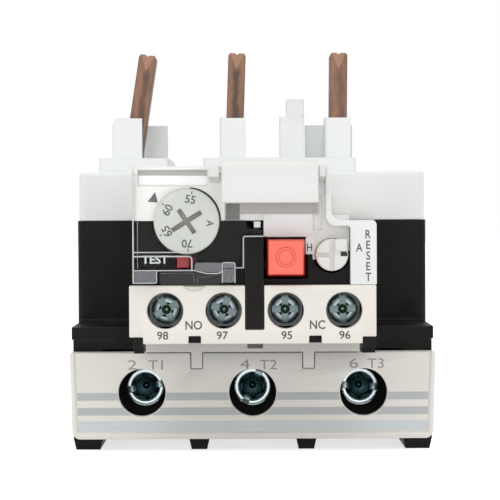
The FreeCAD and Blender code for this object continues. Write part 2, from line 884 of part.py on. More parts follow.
def front_hood():
    """The white half of the control module: label bed, stepped front, right flank and hinge lugs."""
    outer = block(
        "hood_outer", ("-module_left", "hood_right_x"), ("module_face_y", "body_face_y - fit_gap"), ("split_z", "hood_z")
    )
    flank_profile = [
        ("hood_right_x - 1", "split_z"),
        ("flank_right_x + flank_slope", "split_z"),
        ("flank_right_x", "flank_z"),
        ("hood_right_x - 1", "flank_z"),
    ]
    flank = prism("hood_flank", "XZ", flank_profile, ("flank_face_y", "body_face_y - fit_gap"))
    drop = hood_drop("hood_drop", "module_face_y", "module_face_y + front_wall - fit_gap", "0")
    lugs = [
        prism(
            f"hinge_lug_{name}",
            "YZ",
            [
                ("module_face_y + 1", "hinge_z - 2.2"),
                ("module_face_y + 1", "hood_z"),
                ("hinge_y - 0.4", "hood_z"),
                ("hinge_y - 1.2", "hinge_z + 0.3"),
                ("hinge_y - 1.2", "hinge_z - 1.0"),
            ],
            across,
        )
        for name, across in (
            ("left", ("lug_left_x", "lug_left_x + lug_left_width")),
            ("right", ("lug_right_x - lug_right_width", "lug_right_x")),
        )
    ]
    body = join("hood_solid", outer, flank, drop, *lugs)
    behind_wall = "module_face_y + front_wall"
    tools = [
        block(
            "hood_room",
            ("-module_left + module_wall", "hood_right_x - module_wall"),
            (behind_wall, "body_face_y - module_wall"),
            ("split_z - 1", "hood_z - module_wall"),
        ),
        block(
            "flank_room",
            ("hood_right_x - module_wall - 1", "flank_right_x - module_wall"),
            ("flank_face_y + module_wall", "body_face_y - module_wall"),
            ("split_z - 1", "flank_z - module_wall"),
        ),
        rod("hood_dial_hole", "Y", ("dial_x", "dial_z"), ("module_face_y - 1", f"{behind_wall} + 0.01"), "dial_hole"),
        rod(
            "hood_knob_hole", "Y", ("knob_x", "knob_z"), ("module_face_y - 1", f"{behind_wall} + 1"), "knob_radius + 0.45"
        ),
        block(
            "label_bed",
            ("-module_left + 0.9", "window_relief_x"),
            ("module_face_y - 1", "module_face_y + 0.7"),
            ("hood_z - 3.55", "hood_z - 0.6"),
        ),
        rod("hinge_bore", "X", ("hinge_y", "hinge_z"), ("lug_left_x - 1", "lug_right_x + 1"), "hinge_pin + 0.02"),
        block(
            "label_bed_right",
            ("window_relief_x + 3.2", "hood_right_x - 1.6"),
            ("module_face_y - 1", "module_face_y + 0.4"),
            ("window_step_z + 1.2", "flap_low_z + 1.6"),
        ),
    ]
    shell = cut("hood_shell", body, *tools)
    keep("front_hood", shell)


def terminal_cover():
    """The cream front cover: drafted outline, inset plate, driver holes and keying notches."""
    half = "body_width / 2"
    outline = [
        (f"-{half}", "cover_high_z"),
        (f"-{half} + cover_draft", "cover_low_z"),
        (f"{half} - cover_draft", "cover_low_z"),
        (half, "cover_high_z"),
    ]
    outer = prism("cover_outer", "XZ", outline, ("cover_face_y", "flange_face_y - fit_gap"))
    rounded = soften(
        "cover_rounded",
        outer,
        SIZES["cover_corner"],
        lambda edge: runs_along(edge, "Y") and near(edge.CenterOfMass.z, SIZES["cover_low_z"]),
    )
    inset = prism(
        "cover_inset",
        "XZ",
        [
            (f"-{half} + cover_side_rim", "cover_high_z + 1"),
            (f"-{half} + cover_side_rim + cover_draft", "cover_low_z + cover_low_rim"),
            (f"{half} - cover_side_rim - cover_draft", "cover_low_z + cover_low_rim"),
            (f"{half} - cover_side_rim", "cover_high_z + 1"),
        ],
        ("cover_face_y - 1", "cover_face_y + cover_inset"),
    )
    hollow = block(
        "cover_hollow",
        (f"-{half} + cover_wall", f"{half} - cover_wall"),
        ("cover_face_y + cover_wall", "flange_face_y + 1"),
        ("cover_low_z + cover_wall", "cover_high_z - cover_wall"),
    )
    tools = [inset, hollow]
    for name, step in PHASES.items():
        tools.append(
            rod(
                f"driver_hole_{name}",
                "Y",
                (f"{step} * phase_pitch", "screw_z"),
                ("cover_face_y - 1", "flange_face_y + 1"),
                "driver_radius",
            )
        )
    for side in (-1, 1):
        middle = f"{side} * tab_pitch / 2"
        tools.append(
            block(
                f"tab_notch_{side + 1}",
                (f"{middle} - tab_width / 2 - fit_gap", f"{middle} + tab_width / 2 + fit_gap"),
                ("cover_face_y - 1", "cover_face_y + cover_wall + 0.1"),
                ("tab_low_z - fit_gap", "cover_high_z + 1"),
            )
        )
    keep("terminal_cover", cut("cover_shell", rounded, *tools))


def cover_bridge():
    """The cream band between the cover and the auxiliary strip, keyed to the cover by two tabs."""
    face = "(cover_face_y + cover_inset)"
    plate = block(
        "band_plate",
        ("-band_half", "band_half"),
        (face, "cover_face_y + cover_wall"),
        ("cover_high_z + fit_gap", "band_high_z"),
    )
    ledge = block(
        "band_ledge",
        ("-band_half + 1", "band_half - 1"),
        ("cover_face_y + cover_wall - 0.5", "flange_face_y - fit_gap"),
        ("cover_high_z + fit_gap", "band_notch_low_z + 0.6"),
    )
    tabs = [
        block(
            f"band_tab_{side + 1}",
            (f"{side} * tab_pitch / 2 - tab_width / 2", f"{side} * tab_pitch / 2 + tab_width / 2"),
            (face, "cover_face_y + cover_wall"),
            ("tab_low_z", "cover_high_z + 1"),
        )
        for side in (-1, 1)
    ]
    notch = block(
        "band_notch",
        ("bar_left_x + 0.3", "bar_left_x + 0.3 + band_notch_width"),
        ("cover_face_y - 1", "cover_face_y + cover_wall - 0.6"),
        ("band_notch_low_z", "band_notch_high_z"),
    )
    keep("cover_bridge", cut("band_cut", join("band_whole", plate, ledge, *tabs), notch))


def aux_strip():
    """The cream strip in front of the auxiliary screws, slotted for the black centre bar."""
    outline = [
        ("-strip_half", "strip_top_z"),
        ("-strip_half", "strip_notch_z"),
        ("-block_inner_x", "strip_notch_z"),
        ("-block_inner_x", "strip_bottom_z"),
        ("block_inner_x", "strip_bottom_z"),
        ("block_inner_x", "strip_notch_z"),
        ("strip_half", "strip_notch_z"),
        ("strip_half", "strip_top_z"),
        ("bar_right_x + 0.1", "strip_top_z"),
        ("bar_right_x + 0.1", "bar_low_z - 0.1"),
        ("bar_left_x - 0.1", "bar_low_z - 0.1"),
        ("bar_left_x - 0.1", "strip_top_z"),
    ]
    plate = prism("strip_outer", "XZ", outline, ("strip_face_y", "strip_face_y + strip_plate"))
    tools = [
        rod(
            f"strip_hole_{number}",
            "Y",
            (place, "aux_z"),
            ("strip_face_y - 1", "strip_face_y + strip_plate + 1"),
            "aux_hole_radius",
        )
        for number, place in AUX_PLACES.items()
    ]
    for name in ("left", "right"):
        middle = f"small_notch_{name}_x"
        tools.append(
            block(
                f"strip_notch_{name}",
                (f"{middle} - small_notch / 2", f"{middle} + small_notch / 2"),
                ("strip_face_y - 1", "strip_face_y + strip_plate + 1"),
                ("strip_bottom_z - 1", "small_notch_high_z"),
            )
        )
    tools.append(
        rod(
            "lift_scallop",
            "Y",
            ("(small_notch_left_x + aux_inner * 0) ", "strip_top_z + 1.6"),
            ("strip_face_y - 1", "strip_face_y + 0.9"),
            "2.6",
        )
    )
    keep("aux_strip", cut("strip_cut", plate, *tools))


def reset_panel():
    """The white strip at the right of the module, with the lip that runs up beside the clear cover."""
    lip_right = "(lip_left_x + lip_width)"
    outline = [
        ("lip_left_x", "lip_top_z"),
        (lip_right, "lip_top_z"),
        (lip_right, "panel_top_z"),
        ("panel_right_x", "panel_top_z"),
        ("panel_right_x", "strip_top_z + fit_gap"),
        ("panel_left_x", "strip_top_z + fit_gap"),
        ("panel_left_x", "panel_top_z - lip_width"),
        ("lip_left_x", "panel_top_z - lip_width"),
    ]
    plate = prism("panel_outer", "XZ", outline, ("panel_face_y", "module_face_y - fit_gap"))
    inner = SIZES["lip_left_x"] + SIZES["lip_width"]
    sharp = {
        (inner, SIZES["panel_top_z"]): SIZES["lip_round"],
        (SIZES["lip_left_x"], SIZES["panel_top_z"] - SIZES["lip_width"]): SIZES["lip_round"],
        (SIZES["panel_right_x"], SIZES["panel_top_z"]): 0.9,
        (SIZES["panel_left_x"], SIZES["panel_top_z"] - SIZES["lip_width"]): 0.5,
    }
    doc.recompute()
    fillet = doc.addObject("Part::Fillet", "panel_rounded")
    fillet.Base = plate
    fillet.Edges = [
        (n, radius, radius)
        for n, edge in enumerate(plate.Shape.Edges, start=1)
        for (x_place, z_place), radius in sharp.items()
        if runs_along(edge, "Y") and near(edge.CenterOfMass.x, x_place) and near(edge.CenterOfMass.z, z_place)
    ]
    keep("reset_panel", fillet)


# ---------------------------------------------------------------- clear cover and flap


def window_cover():
    """The clear cover: stepped round the stop button, with two sealing feet and hinge knuckles."""
    outline = [
        ("-module_left", "window_top_z"),
        ("-module_left", "window_low_z"),
        ("-module_left + 4.6", "window_low_z"),
        ("-module_left + 4.6", "window_lift_z"),
        ("window_mid_x - 4.1", "window_lift_z"),
        ("window_mid_x - 4.1", "window_low_z"),
        ("window_mid_x - 1.6", "window_low_z"),
        ("window_mid_x - 1.6", "window_lift_z + 0.6"),
        ("window_mid_x", "window_lift_z + 0.6"),
        ("window_mid_x", "window_step_z"),
        ("window_right_x", "window_step_z"),
        ("window_right_x", "window_relief_z"),
        ("window_relief_x", "window_relief_z"),
        ("window_relief_x", "window_top_z"),
    ]
    plate = prism("window_plate", "XZ", outline, ("window_face_y", "window_face_y + window_thick"))
    rim = block(
        "window_side",
        ("-module_left", "-module_left + window_rim"),
        ("window_face_y", "window_rim_y"),
        ("window_low_z + 0.4", "hinge_z - 0.4"),
    )
    feet = [
        block(
            f"window_foot_{name}",
            across,
            ("window_face_y", "window_rim_y + 0.5"),
            ("window_low_z + 0.4", "window_lift_z + 0.6"),
        )
        for name, across in (
            ("left", ("-module_left", "-module_left + 4.6")),
            ("right", ("window_mid_x - 4.1", "window_mid_x - 1.6")),
        )
    ]
    arms = []
    bores = []
    for name, across in (
        ("left", ("flap_left_x + 0.3", "flap_left_x + 2.3")),
        ("right", ("flap_right_x - 2.3", "flap_right_x - 0.3")),
    ):
        knuckle = rod(f"window_knuckle_{name}", "X", ("hinge_y", "hinge_z"), across, "knuckle_radius")
        arm = block(
            f"window_arm_{name}",
            across,
            ("window_face_y + 0.2", "window_face_y + window_thick"),
            ("window_relief_z - 1", "hinge_z"),
        )
        arms += [knuckle, arm]
        bores.append(
            rod(
                f"window_bore_{name}",
                "X",
                ("hinge_y", "hinge_z"),
                (f"{across[0]} - 1", f"{across[1]} + 1"),
                "hinge_pin + shaft_clearance",
            )
        )
    keep("window_cover", cut("window_cut", join("window_whole", plate, rim, *feet, *arms), *bores))


def marker_flap():
    """The white label flap, with a long barrel behind it on the same pin as the clear cover."""
    profile = [
        ("flap_face_y", "flap_low_z"),
        ("flap_face_y + flap_thick", "flap_low_z"),
        ("flap_face_y + flap_thick", "flap_high_z - 0.8"),
        ("flap_face_y + flap_thick + 0.7", "flap_high_z - 0.8"),
        ("flap_face_y + flap_thick + 0.7", "flap_high_z"),
        ("flap_face_y + 0.5", "flap_high_z"),
        ("flap_face_y", "flap_high_z - 0.9"),
    ]
    plate = prism("flap_plate", "YZ", profile, ("flap_left_x", "flap_right_x"))
    across = ("flap_left_x + 2.6", "flap_right_x - 2.6")
    barrel = rod("flap_barrel", "X", ("hinge_y", "hinge_z"), across, "knuckle_radius")
    web = block(
        "flap_web", across, ("flap_face_y + flap_thick - 0.3", "hinge_y"), ("hinge_z - 0.8", "hinge_z + 0.8")
    )
    bore = rod(
        "flap_bore",
        "X",
        ("hinge_y", "hinge_z"),
        (f"{across[0]} - 1", f"{across[1]} + 1"),
        "hinge_pin + shaft_clearance",
    )
    keep("marker_flap", cut("flap_cut", join("flap_whole", plate, barrel, web), bore))


def cover_hinge_pin():
    keep(
        "cover_hinge_pin",
        rod("hinge_wire", "X", ("hinge_y", "hinge_z"), ("lug_left_x + 0.2", "lug_right_x - 0.2"), "hinge_pin"),
    )


# ---------------------------------------------------------------- current path


def connection_pin(name, step):
    """A flat copper pin, modelled upright on its pivot and then leaned to its place."""
    half = "pin_width / 2"
    outline = [
        (f"-{half}", "-pin_tail"),
        (half, "-pin_tail"),
        (half, "pin_reach - 0.5"),
        (f"{half} - 0.35", "pin_reach"),
        ("0.45", "pin_reach"),
        ("0", "pin_reach - pin_notch"),
        ("-0.45", "pin_reach"),
        (f"-{half} + 0.35", "pin_reach"),
        (f"-{half}", "pin_reach - 0.5"),
    ]
    blade = prism(f"blade_{name}", "XZ", outline, ("0", "pin_depth"))
    eye = rod(f"pin_eye_{name}", "Y", ("0", "0"), ("-1", "pin_depth + 1"), "stud_radius + shaft_clearance")
    pin = cut(f"pin_cut_{name}", blade, eye)
    pin.Placement = FreeCAD.Placement(FreeCAD.Vector(), FreeCAD.Rotation(FreeCAD.Vector(0, 1, 0), 1))
    pin.setExpression("Placement.Base.x", dims(pin_centre(step)))
    pin.setExpression("Placement.Base.y", dims("pin_front_y"))
    pin.setExpression("Placement.Base.z", dims("pivot_z"))
    pin.setExpression("Placement.Rotation.Angle", dims(f"lean_{name}"))
    keep(f"pin_{name}", pin)


def bimetal_x(step):
    return f"({step} * phase_pitch + bimetal_shift)"


def pin_lead(name, step):
    """The stud a pin turns on, its plate, and the copper lead to the tip of the bimetal."""
    centre = pin_centre(step)
    plate_y = "(pin_front_y + pin_depth + run_gap)"
    tip_y = "(bimetal_front_y + bimetal_width - 2.5)"
    stud = rod(
        f"stud_{name}", "Y", (centre, "pivot_z"), ("pin_front_y - run_gap", f"{plate_y} + link_thick"), "stud_radius"
    )
    plate = block(
        f"lead_plate_{name}",
        (f"{centre} - 2.6", f"{centre} + 2.6"),
        (plate_y, f"{plate_y} + link_thick"),
        ("pivot_z - 4", "pivot_z + 1.8"),
    )
    profile = [
        (plate_y, "pivot_z - 2.8"),
        (plate_y, "pivot_z - 4"),
        (f"{tip_y} - link_thick", "pivot_z - 4"),
        (f"{tip_y} - link_thick", "bimetal_tip_z + 0.4"),
        (tip_y, "bimetal_tip_z + 0.4"),
        (tip_y, "pivot_z - 2.8"),
    ]
    tail = prism(f"lead_tail_{name}", "YZ", profile, (f"{bimetal_x(step)} - 0.7", f"{bimetal_x(step)} + 0.7"))
    keep(f"pin_lead_{name}", join(f"lead_{name}", stud, plate, tail))


def terminal_bar(name, step):
    """A copper bar from the cable clamp, back under the deck, to the socket of the bimetal's root."""
    screw_x = f"{step} * phase_pitch"
    strip_top = "(strip_low_z + strip_thick)"
    back = "(bimetal_front_y + bimetal_width + 0.3)"
    profile = [
        ("tongue_front_y", "tongue_low_z"),
        ("tongue_front_y + tongue_thick", "tongue_low_z"),
        ("tongue_front_y + tongue_thick", "strip_low_z"),
        (back, "strip_low_z"),
        (back, strip_top),
        ("tongue_front_y", strip_top),
    ]
    bar = prism(
        f"bar_{name}", "YZ", profile, (f"{screw_x} - tongue_width / 2", f"{screw_x} + tongue_width / 2")
    )
    middle = bimetal_x(step)
    reach = "(bead_radius + shaft_clearance + socket_wall)"
    ends = ("bimetal_front_y", "bimetal_front_y + bimetal_width")
    holder = block(
        f"socket_{name}",
        (f"{middle} - {reach}", f"{middle} + {reach}"),
        ends,
        (f"{strip_top} - 0.5", "bimetal_root_z + 1.4"),
    )
    through = (f"{ends[0]} - 1", f"{ends[1]} + 1")
    bore = rod(
        f"socket_bore_{name}", "Y", (middle, "bimetal_root_z"), through, "bead_radius + shaft_clearance"
    )
    mouth = block(
        f"socket_mouth_{name}",
        (f"{middle} - bimetal_thick / 2 - 0.3", f"{middle} + bimetal_thick / 2 + 0.3"),
        through,
        ("bimetal_root_z", "bimetal_root_z + 3"),
    )
    keep(f"terminal_bar_{name}", cut(f"bar_cut_{name}", join(f"bar_whole_{name}", bar, holder), bore, mouth))


def bimetal(name, step):
    """A bimetal strip standing on a round root bead, about which its bending is modelled."""
    middle = bimetal_x(step)
    ends = ("bimetal_front_y", "bimetal_front_y + bimetal_width")
    bead = rod(f"bead_{name}", "Y", (middle, "bimetal_root_z"), ends, "bead_radius")
    strip = block(
        f"strip_{name}",
        (f"{middle} - bimetal_thick / 2", f"{middle} + bimetal_thick / 2"),
        ends,
        ("bimetal_root_z", "bimetal_tip_z"),
    )
    keep(f"bimetal_{name}", join(f"bimetal_whole_{name}", bead, strip))


def heater(name, step):
    """The heater ribbon: turns round an insulating sleeve on the strip, with a link down one side."""
    middle = bimetal_x(step)
    front = "(bimetal_front_y - 0.25)"
    back = "(bimetal_front_y + bimetal_width + 0.25)"
    turns = 5
    top = f"(heater_low_z + {turns - 1} * heater_pitch + heater_ribbon)"
    inner = "(bimetal_thick / 2 + 0.25)"
    sleeve_wall = 0.3
    pieces = [
        block(
            f"mica_{name}",
            (f"{middle} - {inner} - {sleeve_wall}", f"{middle} + {inner} + {sleeve_wall}"),
            (f"{front} - {sleeve_wall}", f"{back} + {sleeve_wall}"),
            ("heater_low_z - 0.3", f"{top} + 0.3"),
        )
    ]
    for turn in range(turns):
        low = f"(heater_low_z + {turn} * heater_pitch)"
        pieces.append(
            block(
                f"turn_{name}_{turn}",
                (f"{middle} - heater_stand", f"{middle} + heater_stand"),
                (f"{front} - 0.8", f"{back} + 0.8"),
                (low, f"{low} + heater_ribbon"),
            )
        )
    bore = block(
        f"mica_room_{name}",
        (f"{middle} - {inner}", f"{middle} + {inner}"),
        (front, back),
        ("heater_low_z - 2", f"{top} + 2"),
    )
    keep(f"heater_{name}", cut(f"heater_cut_{name}", join(f"heater_whole_{name}", *pieces), bore))


def clamp_cage(name, step):
    """The box clamp: its front wall is the nut, its rear jaw pulls the cable against the bar."""
    middle = f"{step} * phase_pitch"
    nut_back = "(tongue_front_y - run_gap)"
    front = f"({nut_back} - cage_nut)"
    outer = block(
        f"cage_outer_{name}",
        (f"{middle} - cage_width / 2", f"{middle} + cage_width / 2"),
        (front, f"{nut_back} + cage_room + cage_jaw"),
        ("cage_low_z", "cage_high_z"),
    )
    room = block(
        f"cage_room_{name}",
        (f"{middle} - cage_width / 2 + cage_side", f"{middle} + cage_width / 2 - cage_side"),
        (nut_back, f"{nut_back} + cage_room"),
        ("cage_low_z - 1", "cage_high_z + 1"),
    )
    thread = rod(
        f"cage_thread_{name}",
        "Y",
        (middle, "screw_z"),
        (f"{front} - 1", f"{nut_back} + 1"),
        "shank_radius + screw_clearance",
    )
    keep(f"clamp_cage_{name}", cut(f"cage_cut_{name}", outer, room, thread))


def clamp_screw(name, step):
    """The clamp screw: cylinder head with a hexagon socket and a slot across it."""
    middle = f"{step} * phase_pitch"
    head_back = "(head_face_y + head_length)"
    head = rod(f"head_{name}", "Y", (middle, "screw_z"), ("head_face_y", head_back), "head_radius")
    head_round = chamfer(f"head_rounded_{name}", head, 0.4, SIZES["head_face_y"])
    shank = rod(
        f"shank_{name}",
        "Y",
        (middle, "screw_z"),
        (f"{head_back} - 1", "tongue_front_y - run_gap"),
        "shank_radius",
    )
    side = "(hex_across / 2)"
    point = "(hex_across / 3 ^ 0.5)"
    hexagon = [
        (f"{middle} + {point}", "screw_z"),
        (f"{middle} + {point} / 2", f"screw_z + {side}"),
        (f"{middle} - {point} / 2", f"screw_z + {side}"),
        (f"{middle} - {point}", "screw_z"),
        (f"{middle} - {point} / 2", f"screw_z - {side}"),
        (f"{middle} + {point} / 2", f"screw_z - {side}"),
    ]
    socket = prism(f"socket_hex_{name}", "XZ", hexagon, ("head_face_y - 1", "head_face_y + hex_depth"))
    slot = block(
        f"head_slot_{name}",
        (f"{middle} - head_radius - 1", f"{middle} + head_radius + 1"),
        ("head_face_y - 1", "head_face_y + slot_depth"),
        ("screw_z - slot_width / 2", "screw_z + slot_width / 2"),
    )
    keep(f"clamp_screw_{name}", cut(f"screw_cut_{name}", join(f"screw_whole_{name}", head_round, shank), socket, slot))


# ---------------------------------------------------------------- auxiliary terminals


def aux_terminal(number, place):
    """One auxiliary terminal: pan-head screw, captive square washer and contact bar."""
    head_back = "(aux_head_face_y + aux_head_length)"
    washer_back = f"({head_back} + washer_thick)"
    head = chamfer(
        f"aux_head_rounded_{number}",
        rod(f"aux_head_{number}", "Y", (place, "aux_z"), ("aux_head_face_y", head_back), "aux_head_radius"),
        0.6,
        SIZES["aux_head_face_y"],
    )
    shank = rod(
        f"aux_shank_{number}",
        "Y",
        (place, "aux_z"),
        (f"{head_back} - 0.5", "aux_head_face_y + aux_screw_length"),
        "aux_shank_radius",
    )
    arms = []
    for index, turn in enumerate((45, 135)):
        arm = doc.addObject("Part::Box", f"aux_cross_{number}_{index}")
        arm.setExpression("Length", dims("aux_head_radius * 1.5"))
        arm.setExpression("Width", dims("2"))
        arm.setExpression("Height", dims("slot_width"))
        spin = FreeCAD.Rotation(FreeCAD.Vector(0, 1, 0), turn)
        arm.Placement = FreeCAD.Placement(FreeCAD.Vector(), spin)
        cosine = math.cos(math.radians(turn))
        sine = math.sin(math.radians(turn))
        half_length = "(aux_head_radius * 0.75)"
        half_width = "(slot_width / 2)"
        arm.setExpression(
            "Placement.Base.x", dims(f"{place} - {half_length} * {cosine:.6f} - {half_width} * {sine:.6f}")
        )
        arm.setExpression("Placement.Base.y", dims("aux_head_face_y - 2 + slot_depth"))
        arm.setExpression(
            "Placement.Base.z", dims(f"aux_z + {half_length} * {sine:.6f} - {half_width} * {cosine:.6f}")
        )
        arms.append(arm)
    keep(f"aux_screw_{number}", cut(f"aux_screw_cut_{number}", join(f"aux_whole_{number}", head, shank), *arms))

    washer = block(
        f"washer_plate_{number}",
        (f"{place} - washer_side / 2", f"{place} + washer_side / 2"),
        (f"{head_back} + fit_gap", washer_back),
        ("aux_z - washer_side / 2", "aux_z + washer_side / 2"),
    )
    washer_hole = rod(
        f"washer_hole_{number}",
        "Y",
        (place, "aux_z"),
        (f"{head_back} - 1", f"{washer_back} + 1"),
        "aux_shank_radius + screw_clearance",
    )
    keep(f"aux_washer_{number}", cut(f"washer_cut_{number}", washer, washer_hole))

    bar_back = "(aux_bar_y + aux_bar_thick)"
    tail_top = "(tail_low_z + tail_thick)"
    plate = block(
        f"aux_plate_{number}",
        (f"{place} - aux_pocket / 2 + fit_gap", f"{place} + aux_pocket / 2 - fit_gap"),
        ("aux_bar_y", bar_back),
        ("aux_z - 3.4", tail_top),
    )
    tail = block(
        f"aux_tail_{number}",
        (f"{place} - 1.5", f"{place} + 1.5"),
        ("aux_bar_y", "aux_bar_tail_y"),
        ("tail_low_z", tail_top),
    )
    bar_hole = rod(
        f"aux_thread_{number}",
        "Y",
        (place, "aux_z"),
        ("aux_bar_y - 1", f"{bar_back} + 1"),
        "aux_shank_radius + screw_clearance",
    )
    return cut(f"aux_bar_cut_{number}", join(f"aux_bar_whole_{number}", plate, tail), bar_hole)


# ---------------------------------------------------------------- trip mechanism


def sliders():
    """Two sliders across the three bimetals and the link that carries their motion to the front."""
    top = "(slider_low_z + slider_thick)"
    main_y = "(bimetal_front_y + bimetal_width + 1.5)"
    fore_y = "(bimetal_front_y - 1.3 - slider_width)"
    pivot_x = "(slider_right_x - 1.3)"
    for label, low_y, side, reach in (
        ("main_slider", main_y, 1, (f"{main_y} - 7", f"{main_y} + 0.5")),
        ("differential_slider", fore_y, -1, (f"{fore_y} + slider_width - 0.5", f"{fore_y} + slider_width + 6")),
    ):
        bar = block(
            f"{label}_bar", ("slider_left_x", "slider_right_x"), (low_y, f"{low_y} + slider_width"), ("slider_low_z", top)
        )
        fingers = []
        for name, step in PHASES.items():
            near_x = f"{bimetal_x(step)} + {side} * (bimetal_thick / 2 + run_gap + finger_width / 2)"
            fingers.append(
                block(
                    f"{label}_finger_{name}",
                    (f"{near_x} - finger_width / 2", f"{near_x} + finger_width / 2"),
                    reach,
                    ("slider_low_z", top),
                )
            )
        boss = rod(
            f"{label}_boss",
            "Z",
            (pivot_x, f"{low_y} + slider_width / 2"),
            (f"{top} - 0.5", f"{top} + run_gap + link_thick"),
            "0.8",
        )
        keep(label, join(f"{label}_whole", bar, *fingers, boss))
    low = f"({top} + run_gap)"
    left = "(slider_right_x - 2.8)"
    outline = [
        (left, f"{main_y} + slider_width + 0.6"),
        ("slider_right_x + 0.2", f"{main_y} + slider_width + 0.6"),
        ("slider_right_x + 0.2", f"{fore_y} - 2"),
        ("link_arm_x + link_arm_width", f"{fore_y} - 2"),
        ("link_arm_x + link_arm_width", "link_arm_y"),
        ("link_arm_x", "link_arm_y"),
        ("link_arm_x", f"{fore_y} - 0.4"),
        (left, f"{fore_y} - 0.4"),
    ]
    plate = prism("link_plate", "XY", outline, (low, f"{low} + link_thick"))
    holes = [
        rod(
            f"link_hole_{name}",
            "Z",
            (pivot_x, f"{place} + slider_width / 2"),
            (f"{low} - 1", f"{low} + link_thick + 1"),
            radius,
        )
        for name, place, radius in (("main", main_y, "0.8 + shaft_clearance"), ("fore", fore_y, "0.8 + run_gap"))
    ]
    keep("differential_lever", cut("link_cut", plate, *holes))


def trip_lever():
    """The lever between sliders and rocker: a hub on its post, one arm back and one arm forward."""
    hub = rod("lever_hub", "Z", ("hub_x", "hub_y"), ("hub_low_z", "hub_high_z"), "hub_radius")
    link_low = "(slider_low_z + slider_thick + run_gap)"
    arm_x = "(link_arm_x + link_arm_width + 0.4)"
    back_arm = block(
        "lever_back_arm",
        (arm_x, f"{arm_x} + 1.2"),
        ("hub_y", "link_arm_y + 2"),
        (link_low, f"{link_low} + link_thick"),
    )
    front_arm = block(
        "lever_front_arm",
        ("hub_x - 0.8", "hub_x + 0.8"),
        ("hub_y - 6", "hub_y"),
        ("hub_low_z", "hub_low_z + 1.6"),
    )
    bore = rod(
        "lever_bore", "Z", ("hub_x", "hub_y"), ("hub_low_z - 1", "hub_high_z + 1"), "post_radius + shaft_clearance"
    )
    keep("trip_lever", cut("lever_cut", join("lever_whole", hub, back_arm, front_arm), bore))


def contact_rocker():
    """The rocker with its two bridging contacts and the trip flag behind the small window."""
    depth = ("rocker_front_y", "rocker_front_y + rocker_depth")
    no_x = "(aux_shift - (aux_outer + aux_inner) / 2)"
    nc_x = "(aux_shift + (aux_outer + aux_inner) / 2)"
    tail_top = "(tail_low_z + tail_thick)"
    nc_low = f"({tail_top} + run_gap)"
    no_low = f"({tail_top} + no_gap)"
    hub = rod("rocker_hub", "Y", ("rocker_x", "rocker_z"), depth, "hub_radius")
    beam = block("rocker_beam", (f"{no_x} - 1", f"{nc_x} + 1"), depth, ("rocker_z - 0.9", "rocker_z + 0.9"))
    leg_no = block(
        "rocker_leg_no", (f"{no_x} - 1", f"{no_x} + 1"), depth, (f"{no_low} + bridge_thick", "rocker_z")
    )
    leg_nc = block(
        "rocker_leg_nc", (f"{nc_x} - 1", f"{nc_x} + 1"), depth, (f"{nc_low} + bridge_thick", "rocker_z")
    )
    post = block(
        "rocker_post", ("hub_x - 0.8 - 0.4 - 2", "hub_x - 0.8 - 0.4"), depth, ("rocker_z", "hub_low_z + 1.8")
    )
    bore = rod(
        "rocker_bore",
        "Y",
        ("rocker_x", "rocker_z"),
        ("rocker_front_y - 1", "rocker_front_y + rocker_depth + 1"),
        "post_radius + shaft_clearance",
    )
    keep("contact_rocker", cut("rocker_cut", join("rocker_whole", hub, beam, leg_no, leg_nc, post), bore))
    bridges = [
        block(
            f"bridge_{label}",
            (f"{middle} - bridge_half", f"{middle} + bridge_half"),
            ("rocker_front_y + 0.3", "rocker_front_y + rocker_depth - 0.3"),
            (low, f"{low} + bridge_thick"),
        )
        for label, middle, low in (("no", no_x, no_low), ("nc", nc_x, nc_low))
    ]
    keep("contact_bridges", group("bridge_group", *bridges))
    flag_x = ("bar_right_x - 1.7", "bar_right_x - 0.5")
    stalk = block(
        "flag_stalk",
        flag_x,
        ("rocker_front_y + 0.3", "rocker_front_y + rocker_depth - 0.3"),
        ("rocker_z + hub_radius + 0.02", "split_z - 0.2"),
    )
    arm = block(
        "flag_arm",
        flag_x,
        ("module_face_y + 0.5", "rocker_front_y + rocker_depth - 0.3"),
        ("split_z - 1.3", "split_z - 0.2"),
    )
    keep("trip_flag", join("flag_whole", stalk, arm))


# ---------------------------------------------------------------- controls


def current_dial():
    """The dial: a turned disc with a cross recess in its face and a shaft to the cam."""
    disc = rod(
        "dial_disc", "Y", ("dial_x", "dial_z"), ("dial_face_y", "dial_face_y + dial_rim"), "dial_radius"
    )
    edge = chamfer("dial_edge", disc, 0.25, SIZES["dial_face_y"])
    neck = rod(
        "dial_neck",
        "Y",
        ("dial_x", "dial_z"),
        ("dial_face_y + dial_rim - 0.3", "dial_face_y + dial_thick"),
        "dial_hole - run_gap",
    )
    shaft = rod(
        "dial_stem", "Y", ("dial_x", "dial_z"), ("dial_face_y + dial_thick - 0.5", "dial_end_y"), "dial_shaft"
    )
    arms = []
    for index, (length, turn) in enumerate((("cross_long", "cross_angle"), ("cross_short", "cross_angle + 92"))):
        arm = doc.addObject("Part::Box", f"dial_cross_{index}")
        arm.setExpression("Length", dims(length))
        arm.setExpression("Width", dims("cross_depth + 1"))
        arm.setExpression("Height", dims("cross_width"))
        arm.Placement = FreeCAD.Placement(FreeCAD.Vector(), FreeCAD.Rotation(FreeCAD.Vector(0, -1, 0), 1))
        arm.setExpression("Placement.Rotation.Angle", dims(turn))
        cosine = f"cos(({turn}) * 1 deg)"
        sine = f"sin(({turn}) * 1 deg)"
        arm.setExpression(
            "Placement.Base.x", dims(f"dial_x - {length} / 2 * {cosine} + cross_width / 2 * {sine}")
        )
        arm.setExpression("Placement.Base.y", dims("dial_face_y - 1"))
        arm.setExpression(
            "Placement.Base.z", dims(f"dial_z - {length} / 2 * {sine} - cross_width / 2 * {cosine}")
        )
        arms.append(arm)
    keep("current_dial", cut("dial_cut", join("dial_whole", edge, neck, shaft), *arms))


